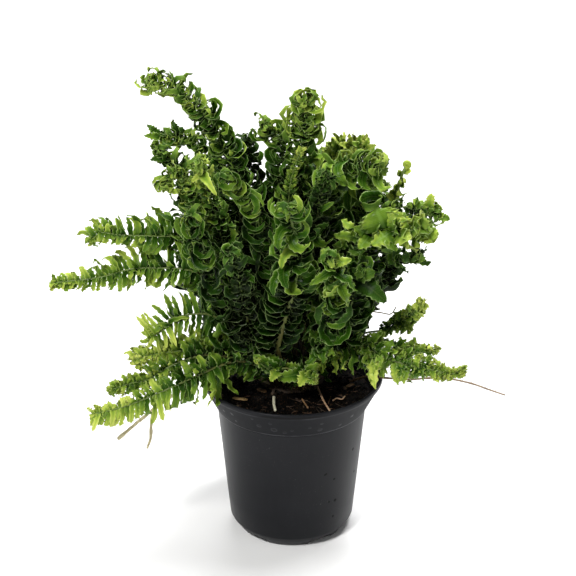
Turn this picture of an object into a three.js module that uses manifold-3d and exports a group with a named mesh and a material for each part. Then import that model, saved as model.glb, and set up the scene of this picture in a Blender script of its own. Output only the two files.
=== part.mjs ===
import * as THREE from 'three';
import { mergeVertices } from 'three/addons/utils/BufferGeometryUtils.js';
import Module from 'manifold-3d';

const wasm = await Module();
wasm.setup();

// ---------------------------------------------------------------- sizes, mm
// The pot stands on z = 0 with its axis on z; the viewer is on the -y side.
const POT_H = 102.8;        // base to lip
const LIP_R = 55.0;         // outside of the lip
const LIP_ROLL = 3.2;       // height of the rolled lip
const FLARE_LOW_R = 46.4;   // bottom of the flared band
const LEDGE_Z = 84.2;       // ledge under the flared band
const BODY_TOP_R = 45.2;    // wall under the ledge
const CHAMFER_Z = 7.8;      // top of the bottom chamfer
const CHAMFER_R = 38.1;
const BASE_R = 32.7;
const WALL = 1.1;
const FLOOR_T = 1.5;
const ARCHES = 5;           // drainage arches round the foot
const ARCH_FIRST_DEG = 32.5; // first arch, measured from -y towards +x
const ARCH_W = 17.0;
const ARCH_H = 3.6;
const SOIL_Z = 90.4;        // soil surface at the wall
const SOIL_DOME = 1.6;      // rise of the soil to the middle
const CROWN_R = 20.0;
const CROWN_Y = 12.0;        // the crown sits a little behind the middle
const CROWN_H = 4.6;
const GAP = 0.3;
const STALK_R = 0.95;       // half thickness of a frond stalk at its foot
const PAIR_PITCH = 12.0;    // spacing of the leaflet teeth

// ---------------------------------------------------------------- plant, mm
// n name, tone 0 dark to 1 yellow green, w half width, bare stalk length, yaw the way
// the blade faces (degrees from -y towards +x), cup lift of the leaflet tips, p points
const FRONDS = [
  { n: 'top_left', tone: 0.35, w: 11, bare: 28, yaw: -10, cup: 0.35,
    p: [[-7.2, 14.7, 96.9], [-16.6, 5, 128.2], [-24.6, 3, 162.1], [-28.4, 1.8, 194.6], [-33.8, 0.8, 223.6], [-38.6, -0.4, 243.6], [-43.4, -1.9, 256.7], [-49.3, -3.1, 267.2], [-56.9, -4.2, 276.4], [-65.6, -5.5, 283.2], [-74.3, -6.8, 287.1], [-83.7, -8, 284.6]] },
  { n: 'upper_left_a', tone: 0.25, w: 11, bare: 28, yaw: -25, cup: 0.35,
    p: [[-8.7, 22.3, 95.5], [-29.6, 20.2, 126.1], [-40.6, 20.2, 159.5], [-46.6, 20, 192.1], [-49.6, 20.2, 218.6], [-53.3, 20.6, 237.1], [-60.1, 20.6, 244.5], [-69.3, 20, 245.9], [-78, 18.9, 244.5]] },
  { n: 'upper_left_b', tone: 0.35, w: 10, bare: 28, yaw: -20, cup: 0.3,
    p: [[-12.5, 12, 95.8], [-33.6, 11, 125.2], [-48.4, 5.9, 160.7], [-55.6, -0.9, 194.5], [-58.9, -11.7, 223.6], [-64, -14.5, 241], [-70.9, -16, 248.7], [-79.9, -14.9, 250.1]] },
  { n: 'left_hook', tone: 0.4, w: 9, bare: 30, yaw: -25, cup: 0.35,
    p: [[-10.5, 7.1, 96.1], [-31, 3.8, 125.4], [-45.1, -3, 158.3], [-52.9, -11.2, 189.4], [-56.5, -18.7, 216.7], [-60.2, -23.7, 235.5], [-65.4, -26.3, 242.5], [-70, -27.5, 237], [-71.3, -28.6, 228.5]] },
  { n: 'left_bright', tone: 0.9, w: 10, bare: 30, yaw: -10, cup: 0.3,
    p: [[-6.6, 6.9, 96.8], [-23.6, -2.5, 131.8], [-33.6, -9.1, 167.5], [-40, -14.2, 195.1], [-44.6, -18.7, 217.3], [-48.6, -22.7, 232.8], [-51, -26, 244.7], [-51.8, -28.5, 253.3]] },
  { n: 'mid_left', tone: 0.45, w: 10, bare: 24, yaw: -5, cup: 0.35,
    p: [[-4.8, 2.5, 96.3], [-11.6, -7.4, 134.3], [-12.6, -14.8, 163.8], [-14.2, -22, 189.7], [-19, -28.3, 212.1], [-26, -33.7, 228.1], [-34, -38, 240.5], [-43.1, -42, 248.4]] },
  { n: 'centre_front', tone: 0.5, w: 13, bare: 14, yaw: 0, cup: 0.3,
    p: [[-0.7, 0.3, 96], [-8.1, -15.8, 124], [-4.5, -25.1, 148.1], [0.7, -35.3, 170.8], [2.8, -45.9, 191.7], [1.7, -48.5, 209.7], [-1.1, -52.2, 226.7], [-2.7, -55.6, 236.3]] },
  { n: 'centre_rosette', tone: 0.65, w: 10, bare: 14, yaw: 8, cup: 0.35,
    p: [[6.4, -0.2, 95.4], [17.6, -27.2, 134.3], [24, -38.9, 159.3], [25.2, -46.8, 179.8], [22.7, -53.4, 197.4], [17.5, -58.5, 209.2]] },
  { n: 'right_col', tone: 0.45, w: 11, bare: 16, yaw: 18, cup: 0.3,
    p: [[8.9, -0.1, 95], [24.9, -17.4, 129.3], [31.9, -26.2, 149.9], [34.9, -31.2, 167], [36.8, -35.6, 181.5], [40.3, -41.6, 194.6]] },
  { n: 'centre_up', tone: 0.5, w: 10.5, bare: 26, yaw: 6, cup: 0.35,
    p: [[3.2, 6.6, 97.1], [8, 0.4, 130.4], [10.7, -5.8, 162.8], [12.8, -11.3, 190.7], [14.9, -16.1, 214.4], [17.5, -19.4, 230.3], [20.7, -22, 242]] },
  { n: 'top_centre', tone: 0.55, w: 11, bare: 30, yaw: 0, cup: 0.35,
    p: [[7.8, 8.7, 96.8], [5.1, 11.1, 125.2], [6.1, 7.9, 159.8], [6, 5.1, 193.2], [4.7, 2.1, 222.5], [4.1, -1.6, 245.2], [6.2, -7.7, 262.9], [7.8, -13, 275.3], [5.5, -16.2, 285.6]] },
  { n: 'top_centre_left', tone: 0.5, w: 10.5, bare: 30, yaw: -8, cup: 0.35,
    p: [[-0.5, 15.7, 97.4], [-3.4, 15.5, 123], [-7.6, 13.8, 157.1], [-9.2, 12.1, 190.2], [-7.4, 10.6, 217.3], [-5.1, 9.4, 236.3], [-6.8, 8.9, 248.1], [-12.4, 8.5, 254.2], [-21.6, 8, 255.6]] },
  { n: 'top_mid_left', tone: 0.3, w: 10.5, bare: 30, yaw: -15, cup: 0.35,
    p: [[-4, 20.2, 96.7], [-10.7, 20.4, 120.6], [-16.6, 20.8, 153.9], [-20, 21.2, 186.4], [-22.8, 21.5, 211.8], [-23.8, 21.7, 229.2], [-25.4, 21.9, 240.9], [-26.5, 22, 248.3]] },
  { n: 'spiky', tone: 0.8, w: 6, bare: 50, yaw: 0, cup: 0.15,
    p: [[0, 10.6, 97.6], [1.4, 6.4, 127.5], [-0.4, 1.1, 162.9], [-2.2, -3.1, 190.3], [-2.2, -6.2, 210.4], [-1, -8.7, 226.1], [1.8, -10.8, 239], [6.2, -13, 251.2]] },
  { n: 'dome_top', tone: 0.9, w: 9, bare: 30, yaw: 5, cup: 0.35,
    p: [[6.4, 16.1, 96.9], [14.8, 14.4, 130.3], [18.1, 13.1, 164], [19.6, 11.9, 193.5], [19.3, 10.8, 216], [20.9, 9.8, 230.6], [26, 9.2, 240.1], [33.9, 8.6, 243.9], [43.1, 8, 242.3]] },
  { n: 'dome_arch', tone: 0.6, w: 11, bare: 28, yaw: 12, cup: 0.35,
    p: [[7.3, 12.7, 97], [17.1, 8.3, 129.9], [20.2, 3.4, 165.1], [19.9, -0.7, 194.3], [20.2, -3.2, 216.6], [24.6, -5, 232], [33, -6.1, 239.1], [43.1, -7.4, 239.6], [53.3, -9.3, 234.2]] },
  { n: 'dome_right', tone: 0.6, w: 9.5, bare: 28, yaw: 20, cup: 0.3,
    p: [[11.1, 19.1, 95.6], [20.5, 25.7, 121.4], [32.2, 22.4, 156.5], [39.3, 19.5, 187.1], [43.7, 19.4, 209.5], [46.3, 19.7, 223.2], [48.5, 19.9, 232.4], [50.1, 20, 237.9]] },
  { n: 'right_bright', tone: 0.8, w: 10, bare: 28, yaw: 15, cup: 0.3,
    p: [[12.8, 9.3, 95.6], [25.9, 4.2, 135.2], [35.5, 0.4, 163.2], [43.2, -2.8, 185.8], [51.3, -6, 204.1], [60.8, -8.3, 212.5], [69.7, -10.4, 213.9], [78.2, -12.1, 212.2], [85.2, -13.4, 206.5]] },
  { n: 'right_yellow', tone: 1, w: 12, bare: 24, yaw: 10, cup: 0.3,
    p: [[9.5, 4.5, 95.9], [20.3, -7.7, 134.4], [26.8, -17.6, 165.1], [30.9, -24, 188.1], [37.9, -28.3, 201.7], [48.3, -32.4, 207.1], [60.3, -36.1, 209.9], [69, -38.2, 211.4], [76, -40.3, 213.5]] },
  { n: 'right_mid', tone: 0.25, w: 9.5, bare: 28, yaw: 30, cup: 0.3,
    p: [[15.7, 14.1, 94.7], [32.7, 24.4, 122], [45.9, 16.4, 148], [54.7, 6.8, 163.6], [62.4, 1.3, 173.1], [71.4, -0.9, 180.5], [79.5, -1.4, 182.6]] },
  { n: 'right_ring', tone: 0.35, w: 9.5, bare: 18, yaw: 30, cup: 0.35,
    p: [[9.7, 7.8, 96.3], [28.9, -0.3, 124.1], [36.9, -4.6, 141.5], [42.3, -10.5, 155.3], [46.9, -18.6, 168.7], [49.2, -24.9, 179.8]] },
  { n: 'flat_upper_left', tone: 0.45, w: 13, bare: 34, yaw: -10, cup: 0.05,
    p: [[-15.4, 14.7, 94.8], [-28.1, 13.4, 130.8], [-41.4, 10.4, 161.9], [-51, 7.1, 179.6], [-62.3, 2.8, 189.1], [-82.3, -1.6, 192.2], [-99.7, -1.1, 192.7], [-111.6, 1.1, 193], [-117.9, 2.7, 185.9]] },
  { n: 'flat_long_left', tone: 0.6, w: 10.5, bare: 34, yaw: -10, cup: 0.05,
    p: [[-11.4, 10.3, 96.1], [-31, 6.4, 127.5], [-43.6, 2, 154.7], [-53.7, -2.5, 168.4], [-64.1, -4.6, 172.6], [-76.1, -0.3, 171.3], [-93.6, -0.9, 170.9], [-111.5, -5.5, 167.9], [-129.5, -7.2, 166], [-141, -8.6, 165.4]] },
  { n: 'flat_mid_left', tone: 0.65, w: 10, bare: 22, yaw: -12, cup: 0.1,
    p: [[-15.3, 3.6, 94.1], [-24.9, -3.4, 119], [-37.5, -9.6, 138.6], [-49.6, -13.4, 147.6], [-61.2, -15.1, 147.8], [-72.4, -15.4, 144.7], [-81.1, -17.3, 141.7], [-88.6, -20.3, 138.6]] },
  { n: 'low_left_yellow', tone: 0.95, w: 8, bare: 22, yaw: -12, cup: 0.1,
    p: [[-9.5, 4.6, 95.9], [-21.9, -4.2, 115.4], [-33.6, -8.8, 123], [-46.5, -13.5, 126.1], [-56.9, -16.9, 126.5], [-70.1, -21.8, 127], [-82.8, -25.6, 127], [-93.1, -28.3, 124.4]] },
  { n: 'low_left_dark', tone: 0.4, w: 8.5, bare: 22, yaw: -12, cup: 0.1,
    p: [[-11.4, 0, 94.5], [-24.7, -13.1, 114.6], [-37.6, -17.3, 121.4], [-50.8, -21.9, 125.1], [-62.4, -25.4, 123.6], [-74, -28.5, 119.2], [-84.5, -31.3, 113.5], [-95.4, -34.6, 112.6], [-106.8, -38.2, 109.9]] },
  { n: 'low_left_long', tone: 0.6, w: 10, bare: 14, yaw: -10, cup: 0.1,
    p: [[-7.2, -1.6, 94.9], [-19.9, -15.2, 114.3], [-32.7, -23.6, 122], [-46.3, -33.2, 121.7], [-57.6, -41.3, 120.1], [-70.1, -45.9, 116], [-83.6, -45.6, 109.3], [-95.9, -46.2, 104.4], [-108.9, -50, 102.5], [-116.5, -49.9, 101.1]] },
  { n: 'front_crenate', tone: 0.9, w: 5.5, bare: 5, yaw: 0, cup: 0.1,
    p: [[-3.4, -4.7, 94.3], [0.8, -23.1, 115.1], [-4.5, -23, 117.1], [-10.4, -25.1, 116.2], [-16.2, -30.6, 122.3], [-21.8, -37.8, 131.2]] },
  { n: 'front_tuft', tone: 0.9, w: 6.5, bare: 4, yaw: 5, cup: 0.1,
    p: [[5.6, -3.6, 94.4], [6.7, -17, 111.3], [9.6, -21.6, 113], [12.5, -27.4, 113.4], [14.7, -34, 112.9]] },
  { n: 'low_right_fan', tone: 0.65, w: 11, bare: 14, yaw: 10, cup: 0.1,
    p: [[9.7, 1.7, 95.3], [18.1, -7.7, 119.8], [26.2, -11.5, 128.4], [36.6, -16.5, 130.9], [48.1, -24.2, 128.2], [61.2, -31.1, 125.2], [74, -32.7, 122.8], [85.2, -31.7, 119.6], [93.7, -29.7, 116.6], [100.5, -34.8, 123.2]] },
  { n: 'low_right_upper', tone: 0.85, w: 7.5, bare: 44, yaw: 10, cup: 0.1,
    p: [[14.4, 2.5, 94.2], [27.6, -5, 122.5], [39.3, -8.9, 131.1], [50.3, -12.3, 130.7], [61.4, -15.9, 127.3], [70.7, -18.8, 125.5], [79.9, -21.6, 126.9], [87.2, -24, 130.7]] },
  { n: 'right_small', tone: 0.7, w: 7, bare: 20, yaw: 15, cup: 0.15,
    p: [[15.2, 9.3, 94.9], [28.2, 13, 114.1], [36.9, 6, 123.7], [46.9, 2.8, 127.9], [55.2, 1.4, 130], [63.8, -2, 136.9], [70.4, -6.4, 144.3], [75.8, -9.9, 151.2], [75.4, -11.8, 157.9]] },
  { n: 'back_top_left', tone: 0.3, w: 9, bare: 30, yaw: -20, cup: 0.3,
    p: [[-6.4, 22.9, 95.8], [-18.1, 27, 124.2], [-26.5, 33.1, 158.4], [-31.1, 38.6, 188.9], [-33.3, 43.1, 217.4], [-33.7, 46, 234.1]] },
  { n: 'back_left', tone: 0.2, w: 10, bare: 28, yaw: -30, cup: 0.3,
    p: [[-11.2, 22.2, 95], [-30.6, 33.6, 121], [-47.8, 46.2, 152.5], [-57.5, 55.6, 177.3], [-62.3, 62, 194.6]] },
  { n: 'back_centre', tone: 0.2, w: 10, bare: 28, yaw: 0, cup: 0.3,
    p: [[0, 24.9, 95.7], [0.3, 37.2, 126.1], [-0.9, 51, 160.5], [0.3, 61.4, 186.2], [1.5, 70, 207.2]] },
  { n: 'back_right_top', tone: 0.25, w: 11, bare: 28, yaw: 15, cup: 0.3,
    p: [[5.6, 23.6, 95.7], [12.6, 32, 128.6], [17.3, 39, 165.7], [20.2, 45.2, 196], [18.9, 50.8, 214.5], [16.5, 56, 224.8]] },
  { n: 'back_right', tone: 0.2, w: 10, bare: 28, yaw: 25, cup: 0.3,
    p: [[10.4, 21.5, 95.3], [23.9, 41.9, 123.9], [37.4, 54.3, 159.1], [48.4, 60.4, 181.9], [55.6, 64.5, 196.2]] },
  { n: 'back_right_low', tone: 0.2, w: 9, bare: 26, yaw: 35, cup: 0.3,
    p: [[14.4, 19.5, 94.6], [32.9, 31.1, 120.8], [48.7, 46.5, 135.4], [57.1, 57.2, 144.2]] },
  { n: 'back_left_low', tone: 0.2, w: 9, bare: 26, yaw: -35, cup: 0.3,
    p: [[-13.4, 17.4, 95.2], [-30.5, 29.8, 116], [-46.5, 36.1, 133.5], [-53.7, 36.8, 141.3]] },
  { n: 'back_low', tone: 0.2, w: 10, bare: 24, yaw: 0, cup: 0.3,
    p: [[2.4, 27, 95], [4, 33.6, 114.1], [6.7, 64.4, 123.6], [9.4, 90.4, 130.8]] },
  { n: 'back_low_right', tone: 0.2, w: 10, bare: 24, yaw: 20, cup: 0.3,
    p: [[9, 25.7, 94.5], [18.9, 35.8, 109.6], [32.6, 58.7, 117.2], [41.3, 76, 121.8]] },
  { n: 'back_low_left', tone: 0.2, w: 10, bare: 24, yaw: -20, cup: 0.3,
    p: [[-6.4, 26.3, 94.8], [-10.9, 35.4, 111.8], [-22.4, 62.2, 119.8], [-30.4, 82.1, 123.2]] },
  { n: 'left_inner', tone: 0.25, w: 10.5, bare: 22, yaw: -15, cup: 0.35,
    p: [[-6.8, 4.9, 96.5], [-25.9, -10.9, 126.1], [-36.9, -22.3, 153.2], [-44.8, -30.9, 176.3], [-48.8, -35.7, 196.9], [-52.8, -37.5, 212.3], [-57.3, -41.2, 225.8]] },
  { n: 'left_olive', tone: 0.5, w: 10, bare: 20, yaw: -8, cup: 0.3,
    p: [[-6.4, 1.1, 95.8], [-21, -16.3, 125.5], [-25.8, -27.8, 152], [-28.7, -38.6, 176.1], [-31.6, -47.3, 194.1], [-35.6, -53.9, 208.5]] },
];
const STEMS = [
  { n: 'fiddlehead', r0: 0.9, r1: 0.7, step: 9, sides: 6, round: true, color: [0.2, 0.3, 0.07],
    p: [[13.5, 15, 95.4], [24.5, 14, 123.8], [36.1, 12, 151.4], [46.3, 10, 175.1], [54.1, 9, 192.8], [58.9, 8, 207.7], [61.1, 8, 214.6], [62.6, 8, 222.1], [64.2, 8, 228.2], [65.4, 8, 230.7]],
    knob: { c: [66.1, 8, 232.8], r: 3, t: 2.4 } },
  { n: 'runner_right', r0: 0.65, r1: 0.4, step: 9, sides: 5, round: false, color: [0.2, 0.15, 0.09],
    p: [[35.6, 6.3, 92.6], [43.7, -1, 99.5], [49.3, -9, 104.4], [53.3, -12.1, 105], [61.5, -14, 105.3], [70.3, -16, 105.7], [82.2, -16, 106.7], [94.2, -15, 105.5], [106.3, -14, 102.3], [118.6, -13, 97.1], [127.9, -12, 93.1]] },
  { n: 'dead_stem_right', r0: 0.6, r1: 0.35, step: 9, sides: 5, round: false, color: [0.22, 0.16, 0.1],
    p: [[14.5, 6.5, 94.8], [30.8, 2, 126.3], [37.7, 0, 137.9], [44.7, 0, 142.5], [52.5, 0, 142.2], [59, 0, 141.2], [61.9, 0, 145.8]] },
  { n: 'dead_stem_left', r0: 0.75, r1: 0.55, step: 9, sides: 5, round: true, color: [0.12, 0.06, 0.03],
    p: [[-14.5, 6, 94.8], [-23.8, 2, 114.9], [-32.1, 0, 126.6], [-40.3, -2, 131.6], [-47.4, -4, 128.6], [-53.4, -5, 121.8]] },
  { n: 'dead_runner_left', r0: 0.6, r1: 0.4, step: 9, sides: 5, round: false, color: [0.35, 0.3, 0.18],
    p: [[-13, 1, 94.3], [-25, -6, 104.2], [-36.7, -12, 111.3], [-48.4, -17, 110.6], [-60.2, -21, 104.7], [-72, -24, 98.3], [-81.6, -26, 91.3], [-91.2, -28, 83.6], [-103.3, -30, 73.2]],
    forks: [{ r0: 0.5, r1: 0.35, p: [[-80.4, -25.7, 92.5], [-82.9, -26, 86.5], [-83.7, -27, 77.6], [-84.5, -28, 70.6], [-86.4, -28, 65.8]] }] },
  { n: 'root_twig', r0: 0.6, r1: 0.55, step: 6, sides: 5, round: true, color: [0.3, 0.2, 0.12],
    p: [[15.3, -3.3, 94.6], [17.2, -14.6, 95.2], [19.7, -24.7, 94.6], [22.6, -31.6, 93]] },
  { n: 'stick_pale', r0: 0.95, r1: 0.85, step: 4, sides: 6, round: true, color: [0.5, 0.48, 0.38],
    p: [[-10.6, -14.1, 92.9], [-10.5, -22.6, 92.8], [-9.7, -30.4, 92.7]] },
  { n: 'stick_small', r0: 0.55, r1: 0.45, step: 4, sides: 5, round: true, color: [0.2, 0.14, 0.09],
    p: [[6.2, -16.1, 92.6], [7.9, -21.6, 92.6], [9.7, -26.8, 92.4]] },
  { n: 'root_curl', r0: 0.5, r1: 0.4, step: 3, sides: 5, round: true, color: [0.22, 0.08, 0.05],
    p: [[24.7, -17.2, 92.2], [27.1, -14.6, 92.3], [30.1, -15.9, 92.3], [32, -11.7, 92.3]] },
];
const CHIPS = [
  { n: 'bark_chip_left', p: [-30.9, -15.1, 91.8], len: 9.4, wid: 2.8, thick: 0.9, turn: -14, color: [0.4, 0.27, 0.12] },
  { n: 'bark_chip_right', p: [35.5, 2.1, 91.7], len: 6.2, wid: 3, thick: 0.9, turn: 35, color: [0.1, 0.05, 0.03] },
  { n: 'bark_chip_mid', p: [-17.9, -5, 92.1], len: 6.8, wid: 3.4, thick: 0.9, turn: -40, color: [0.09, 0.05, 0.035] },
];

// ---------------------------------------------------------------- helpers
const V3 = (a) => new THREE.Vector3(a[0], a[1], a[2]);

function weld(geo) {
  const g = geo.clone();
  g.deleteAttribute('normal');
  g.deleteAttribute('uv');
  return mergeVertices(g, 1e-4);
}

function toManifold(geo) {
  const g = geo.index ? geo : weld(geo);
  const vertProperties = new Float32Array(g.attributes.position.array);
  const triVerts = new Uint32Array(g.index.array);
  return new wasm.Manifold(new wasm.Mesh({ numProp: 3, vertProperties, triVerts }));
}

function fromManifold(man) {
  const m = man.getMesh();
  const g = new THREE.BufferGeometry();
  g.setAttribute('position', new THREE.BufferAttribute(new Float32Array(m.vertProperties), 3));
  g.setIndex(new THREE.BufferAttribute(new Uint32Array(m.triVerts), 1));
  return g;
}

// Repeatable noise in 0..1.
function rng(seed) {
  let s = seed >>> 0;
  return () => {
    s = (s + 0x6d2b79f5) >>> 0;
    let t = s;
    t = Math.imul(t ^ (t >>> 15), t | 1);
    t ^= t + Math.imul(t ^ (t >>> 7), t | 61);
    return ((t ^ (t >>> 14)) >>> 0) / 4294967296;
  };
}

// Closed skin through rings of equal point count; the first ring is capped, the
// last one is a cap or a single point.
function skin(rings, tip) {
  const n = rings[0].length;
  const pos = [];
  const idx = [];
  for (const r of rings) for (const p of r) pos.push(p.x, p.y, p.z);
  for (let i = 0; i + 1 < rings.length; i++) {
    for (let j = 0; j < n; j++) {
      const a = i * n + j;
      const b = i * n + ((j + 1) % n);
      const c = a + n;
      const d = b + n;
      // the shorter diagonal keeps the skin smooth
      const P = (k) => new THREE.Vector3(pos[3 * k], pos[3 * k + 1], pos[3 * k + 2]);
      if (P(a).distanceTo(P(d)) < P(b).distanceTo(P(c))) idx.push(a, b, d, a, d, c);
      else idx.push(a, b, c, b, d, c);
    }
  }
  for (let j = 1; j + 1 < n; j++) idx.push(0, j + 1, j);
  const o = (rings.length - 1) * n;
  if (tip) {
    const k = pos.length / 3;
    pos.push(tip.x, tip.y, tip.z);
    for (let j = 0; j < n; j++) idx.push(o + j, o + ((j + 1) % n), k);
  } else {
    for (let j = 1; j + 1 < n; j++) idx.push(o, o + j, o + j + 1);
  }
  const g = new THREE.BufferGeometry();
  g.setAttribute('position', new THREE.BufferAttribute(new Float32Array(pos), 3));
  g.setIndex(idx);
  return g;
}

// Round tapered stem along a curve, as a closed solid.
function stemSolid(pts, r0, r1, stepMm, sides, rounded) {
  const curve = new THREE.CatmullRomCurve3(pts.map(V3), false, 'centripetal');
  const L = curve.getLength();
  const m = Math.max(3, Math.round(L / stepMm));
  const rings = [];
  let up = new THREE.Vector3(0.31, -0.9, 0.3).normalize();
  for (let i = 0; i <= m; i++) {
    const u = i / m;
    const c = curve.getPointAt(u);
    const T = curve.getTangentAt(u);
    up = up.clone().addScaledVector(T, -up.dot(T)).normalize();
    const B = new THREE.Vector3().crossVectors(T, up);
    const r = r0 + (r1 - r0) * u;
    const ring = [];
    for (let j = 0; j < sides; j++) {
      const a = (j / sides) * Math.PI * 2;
      ring.push(c.clone().addScaledVector(B, Math.cos(a) * r).addScaledVector(up, -Math.sin(a) * r));
    }
    rings.push(ring);
  }
  const end = curve.getPointAt(1).addScaledVector(curve.getTangentAt(1), rounded ? r1 * 0.8 : r1 * 0.3);
  return fixWinding(skin(rings, end));
}

function fixWinding(g) {
  const p = g.attributes.position;
  const id = g.index.array;
  let vol = 0;
  const a = new THREE.Vector3();
  const b = new THREE.Vector3();
  const c = new THREE.Vector3();
  for (let i = 0; i < id.length; i += 3) {
    a.fromBufferAttribute(p, id[i]);
    b.fromBufferAttribute(p, id[i + 1]);
    c.fromBufferAttribute(p, id[i + 2]);
    vol += a.dot(b.clone().cross(c)) / 6;
  }
  if (vol < 0) {
    const flipped = Array.from(id);
    for (let i = 0; i < flipped.length; i += 3) {
      const t = flipped[i + 1];
      flipped[i + 1] = flipped[i + 2];
      flipped[i + 2] = t;
    }
    g.setIndex(flipped);
  }
  return g;
}

// Half width of a frond's leafy part, as a share of its widest, at t = 0 (first
// leaflets) to 1 (tip).
function frondShare(t) {
  const rise = Math.min(1, 0.5 + t / 0.24);
  const fall = Math.pow(Math.max(0, 1 - Math.pow(t, 2.2)), 0.72);
  return Math.max(0.12, rise * fall);
}

// One frond: the stalk and its leaflets as one thin closed solid. The rows of
// leaflets are a toothed edge on each side of the ridge.
function frondSolid(f) {
  const curve = new THREE.CatmullRomCurve3(f.p.map(V3), false, 'centripetal');
  const L = curve.getLength();
  const yaw = THREE.MathUtils.degToRad(f.yaw);
  const el = THREE.MathUtils.degToRad(f.tilt === undefined ? 24.8 : f.tilt);
  const face = new THREE.Vector3(Math.sin(yaw) * Math.cos(el), -Math.cos(yaw) * Math.cos(el), Math.sin(el));
  const bare = Math.min(f.bare, L * 0.6);
  const us = [];
  const stalkSteps = Math.max(2, Math.round(bare / 11));
  for (let i = 0; i < stalkSteps; i++) us.push([(i / stalkSteps) * bare, 0]);
  const pairs = Math.max(4, Math.round((L - bare) / PAIR_PITCH));
  for (let i = 0; i < pairs; i++) {
    us.push([bare + ((i + 0.02) / pairs) * (L - bare), 1]);
    us.push([bare + ((i + 0.5) / pairs) * (L - bare), 2]);
  }
  const rings = [];
  let N = face.clone();
  for (const [s, kind] of us) {
    const u = Math.min(s / L, 0.999);
    const c = curve.getPointAt(u);
    const T = curve.getTangentAt(u);
    // the blade turns with the curve and is drawn back to the way it faces
    N.lerp(face, 0.35);
    N.addScaledVector(T, -N.dot(T));
    if (N.length() < 0.15) N = new THREE.Vector3(0, 0, 1).addScaledVector(T, -T.z);
    N.normalize();
    const B = new THREE.Vector3().crossVectors(T, N);
    const t = Math.max(0, (s - bare) / (L - bare));
    const h = STALK_R * (1 - 0.55 * u);
    let w = h;
    if (kind === 1) w = Math.max(h, f.w * frondShare(t) * 0.5);
    if (kind === 2) w = Math.max(h, f.w * frondShare(t));
    const lift = kind ? w * f.cup : 0;
    rings.push([
      c.clone().addScaledVector(B, w).addScaledVector(N, lift),
      c.clone().addScaledVector(N, h),
      c.clone().addScaledVector(B, -w).addScaledVector(N, lift),
      c.clone().addScaledVector(N, -h),
    ]);
  }
  return fixWinding(skin(rings, curve.getPointAt(1)));
}

// ---------------------------------------------------------------- pot
function lathe(profile, seg) {
  return new THREE.LatheGeometry(profile.map((q) => new THREE.Vector2(q[0], q[1])), seg).rotateX(Math.PI / 2);
}

function wallR(z) { // outer radius of the pot wall at height z
  if (z < CHAMFER_Z) return BASE_R + (CHAMFER_R - BASE_R) * (z / CHAMFER_Z);
  if (z < LEDGE_Z) return CHAMFER_R + (BODY_TOP_R - CHAMFER_R) * ((z - CHAMFER_Z) / (LEDGE_Z - CHAMFER_Z));
  return FLARE_LOW_R + (LIP_R - 0.7 - FLARE_LOW_R) * ((z - LEDGE_Z) / (POT_H - LIP_ROLL - LEDGE_Z));
}

function potSolid() {
  const rollZ = POT_H - LIP_ROLL;
  const outer = [
    [0, 0], [BASE_R, 0], [CHAMFER_R, CHAMFER_Z], [BODY_TOP_R, LEDGE_Z - 0.8],
    [FLARE_LOW_R, LEDGE_Z], [LIP_R - 0.7, rollZ], [LIP_R, rollZ + 0.5], [LIP_R, POT_H - 0.7],
    [LIP_R - 0.6, POT_H],
  ];
  const inner = [
    [LIP_R - 1.4, POT_H], [LIP_R - 1.9, POT_H - 0.6], [FLARE_LOW_R - WALL, LEDGE_Z + 0.3],
    [BODY_TOP_R - WALL, LEDGE_Z - 1.2], [CHAMFER_R - WALL, CHAMFER_Z + 0.3],
    [BASE_R - WALL * 0.6, FLOOR_T], [0, FLOOR_T],
  ];
  let pot = toManifold(weld(lathe([...outer, ...inner], 60)));
  // drainage arches cut through the foot of the wall, clear of the flat base disc
  for (let i = 0; i < ARCHES; i++) {
    const a = THREE.MathUtils.degToRad(ARCH_FIRST_DEG + (360 / ARCHES) * i);
    const shape = new THREE.Shape();
    shape.moveTo(-ARCH_W / 2, -1);
    shape.lineTo(ARCH_W / 2, -1);
    shape.lineTo(ARCH_W / 2 - 1.6, ARCH_H - 1.1);
    shape.lineTo(ARCH_W / 2 - 4.2, ARCH_H);
    shape.lineTo(-ARCH_W / 2 + 4.2, ARCH_H);
    shape.lineTo(-ARCH_W / 2 + 1.6, ARCH_H - 1.1);
    shape.closePath();
    const cut = new THREE.ExtrudeGeometry(shape, { depth: 14, bevelEnabled: false, steps: 1 });
    cut.rotateX(Math.PI / 2);            // extruded towards -y
    cut.translate(0, -BASE_R + 3.6, 0);
    cut.rotateZ(a);
    pot = pot.subtract(toManifold(weld(cut)));
  }
  return fromManifold(pot);
}

// ---------------------------------------------------------------- soil, crown
function soilTop(r) { return SOIL_Z + SOIL_DOME * (1 - (r / 46) * (r / 46)); }
function crownTop(r) { return SOIL_Z + SOIL_DOME + GAP + CROWN_H * (1 - (r / CROWN_R) * (r / CROWN_R)); }

function soilSolid() {
  const g = GAP;
  const inR = (z) => wallR(z) - WALL - g;
  const prof = [
    [0, FLOOR_T + g], [BASE_R - WALL - 2.2, FLOOR_T + g], [inR(CHAMFER_Z) - 0.35, CHAMFER_Z + 0.6],
    [BODY_TOP_R - WALL - g - 0.15, LEDGE_Z - 1.5], [FLARE_LOW_R - WALL - g, LEDGE_Z + 0.6],
    [inR(SOIL_Z) - 1.0, SOIL_Z - 0.6],
    [inR(SOIL_Z) - 1.5, soilTop(44)], [34, soilTop(34)], [22, soilTop(22)], [10, soilTop(10)], [0, soilTop(0)],
  ];
  return weld(lathe(prof, 36));
}

function crownSolid() {
  const z0 = SOIL_Z + SOIL_DOME + GAP;
  const prof = [[0, z0], [CROWN_R - 1, z0], [CROWN_R - 0.4, z0 + 0.5]];
  for (const r of [17, 12, 7, 0]) prof.push([r, crownTop(r)]);
  const g = weld(lathe(prof, 28));
  g.translate(0, CROWN_Y, 0);
  return g;
}

// ---------------------------------------------------------------- assembly
const group = new THREE.Group();
group.name = 'boston_fern';

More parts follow.
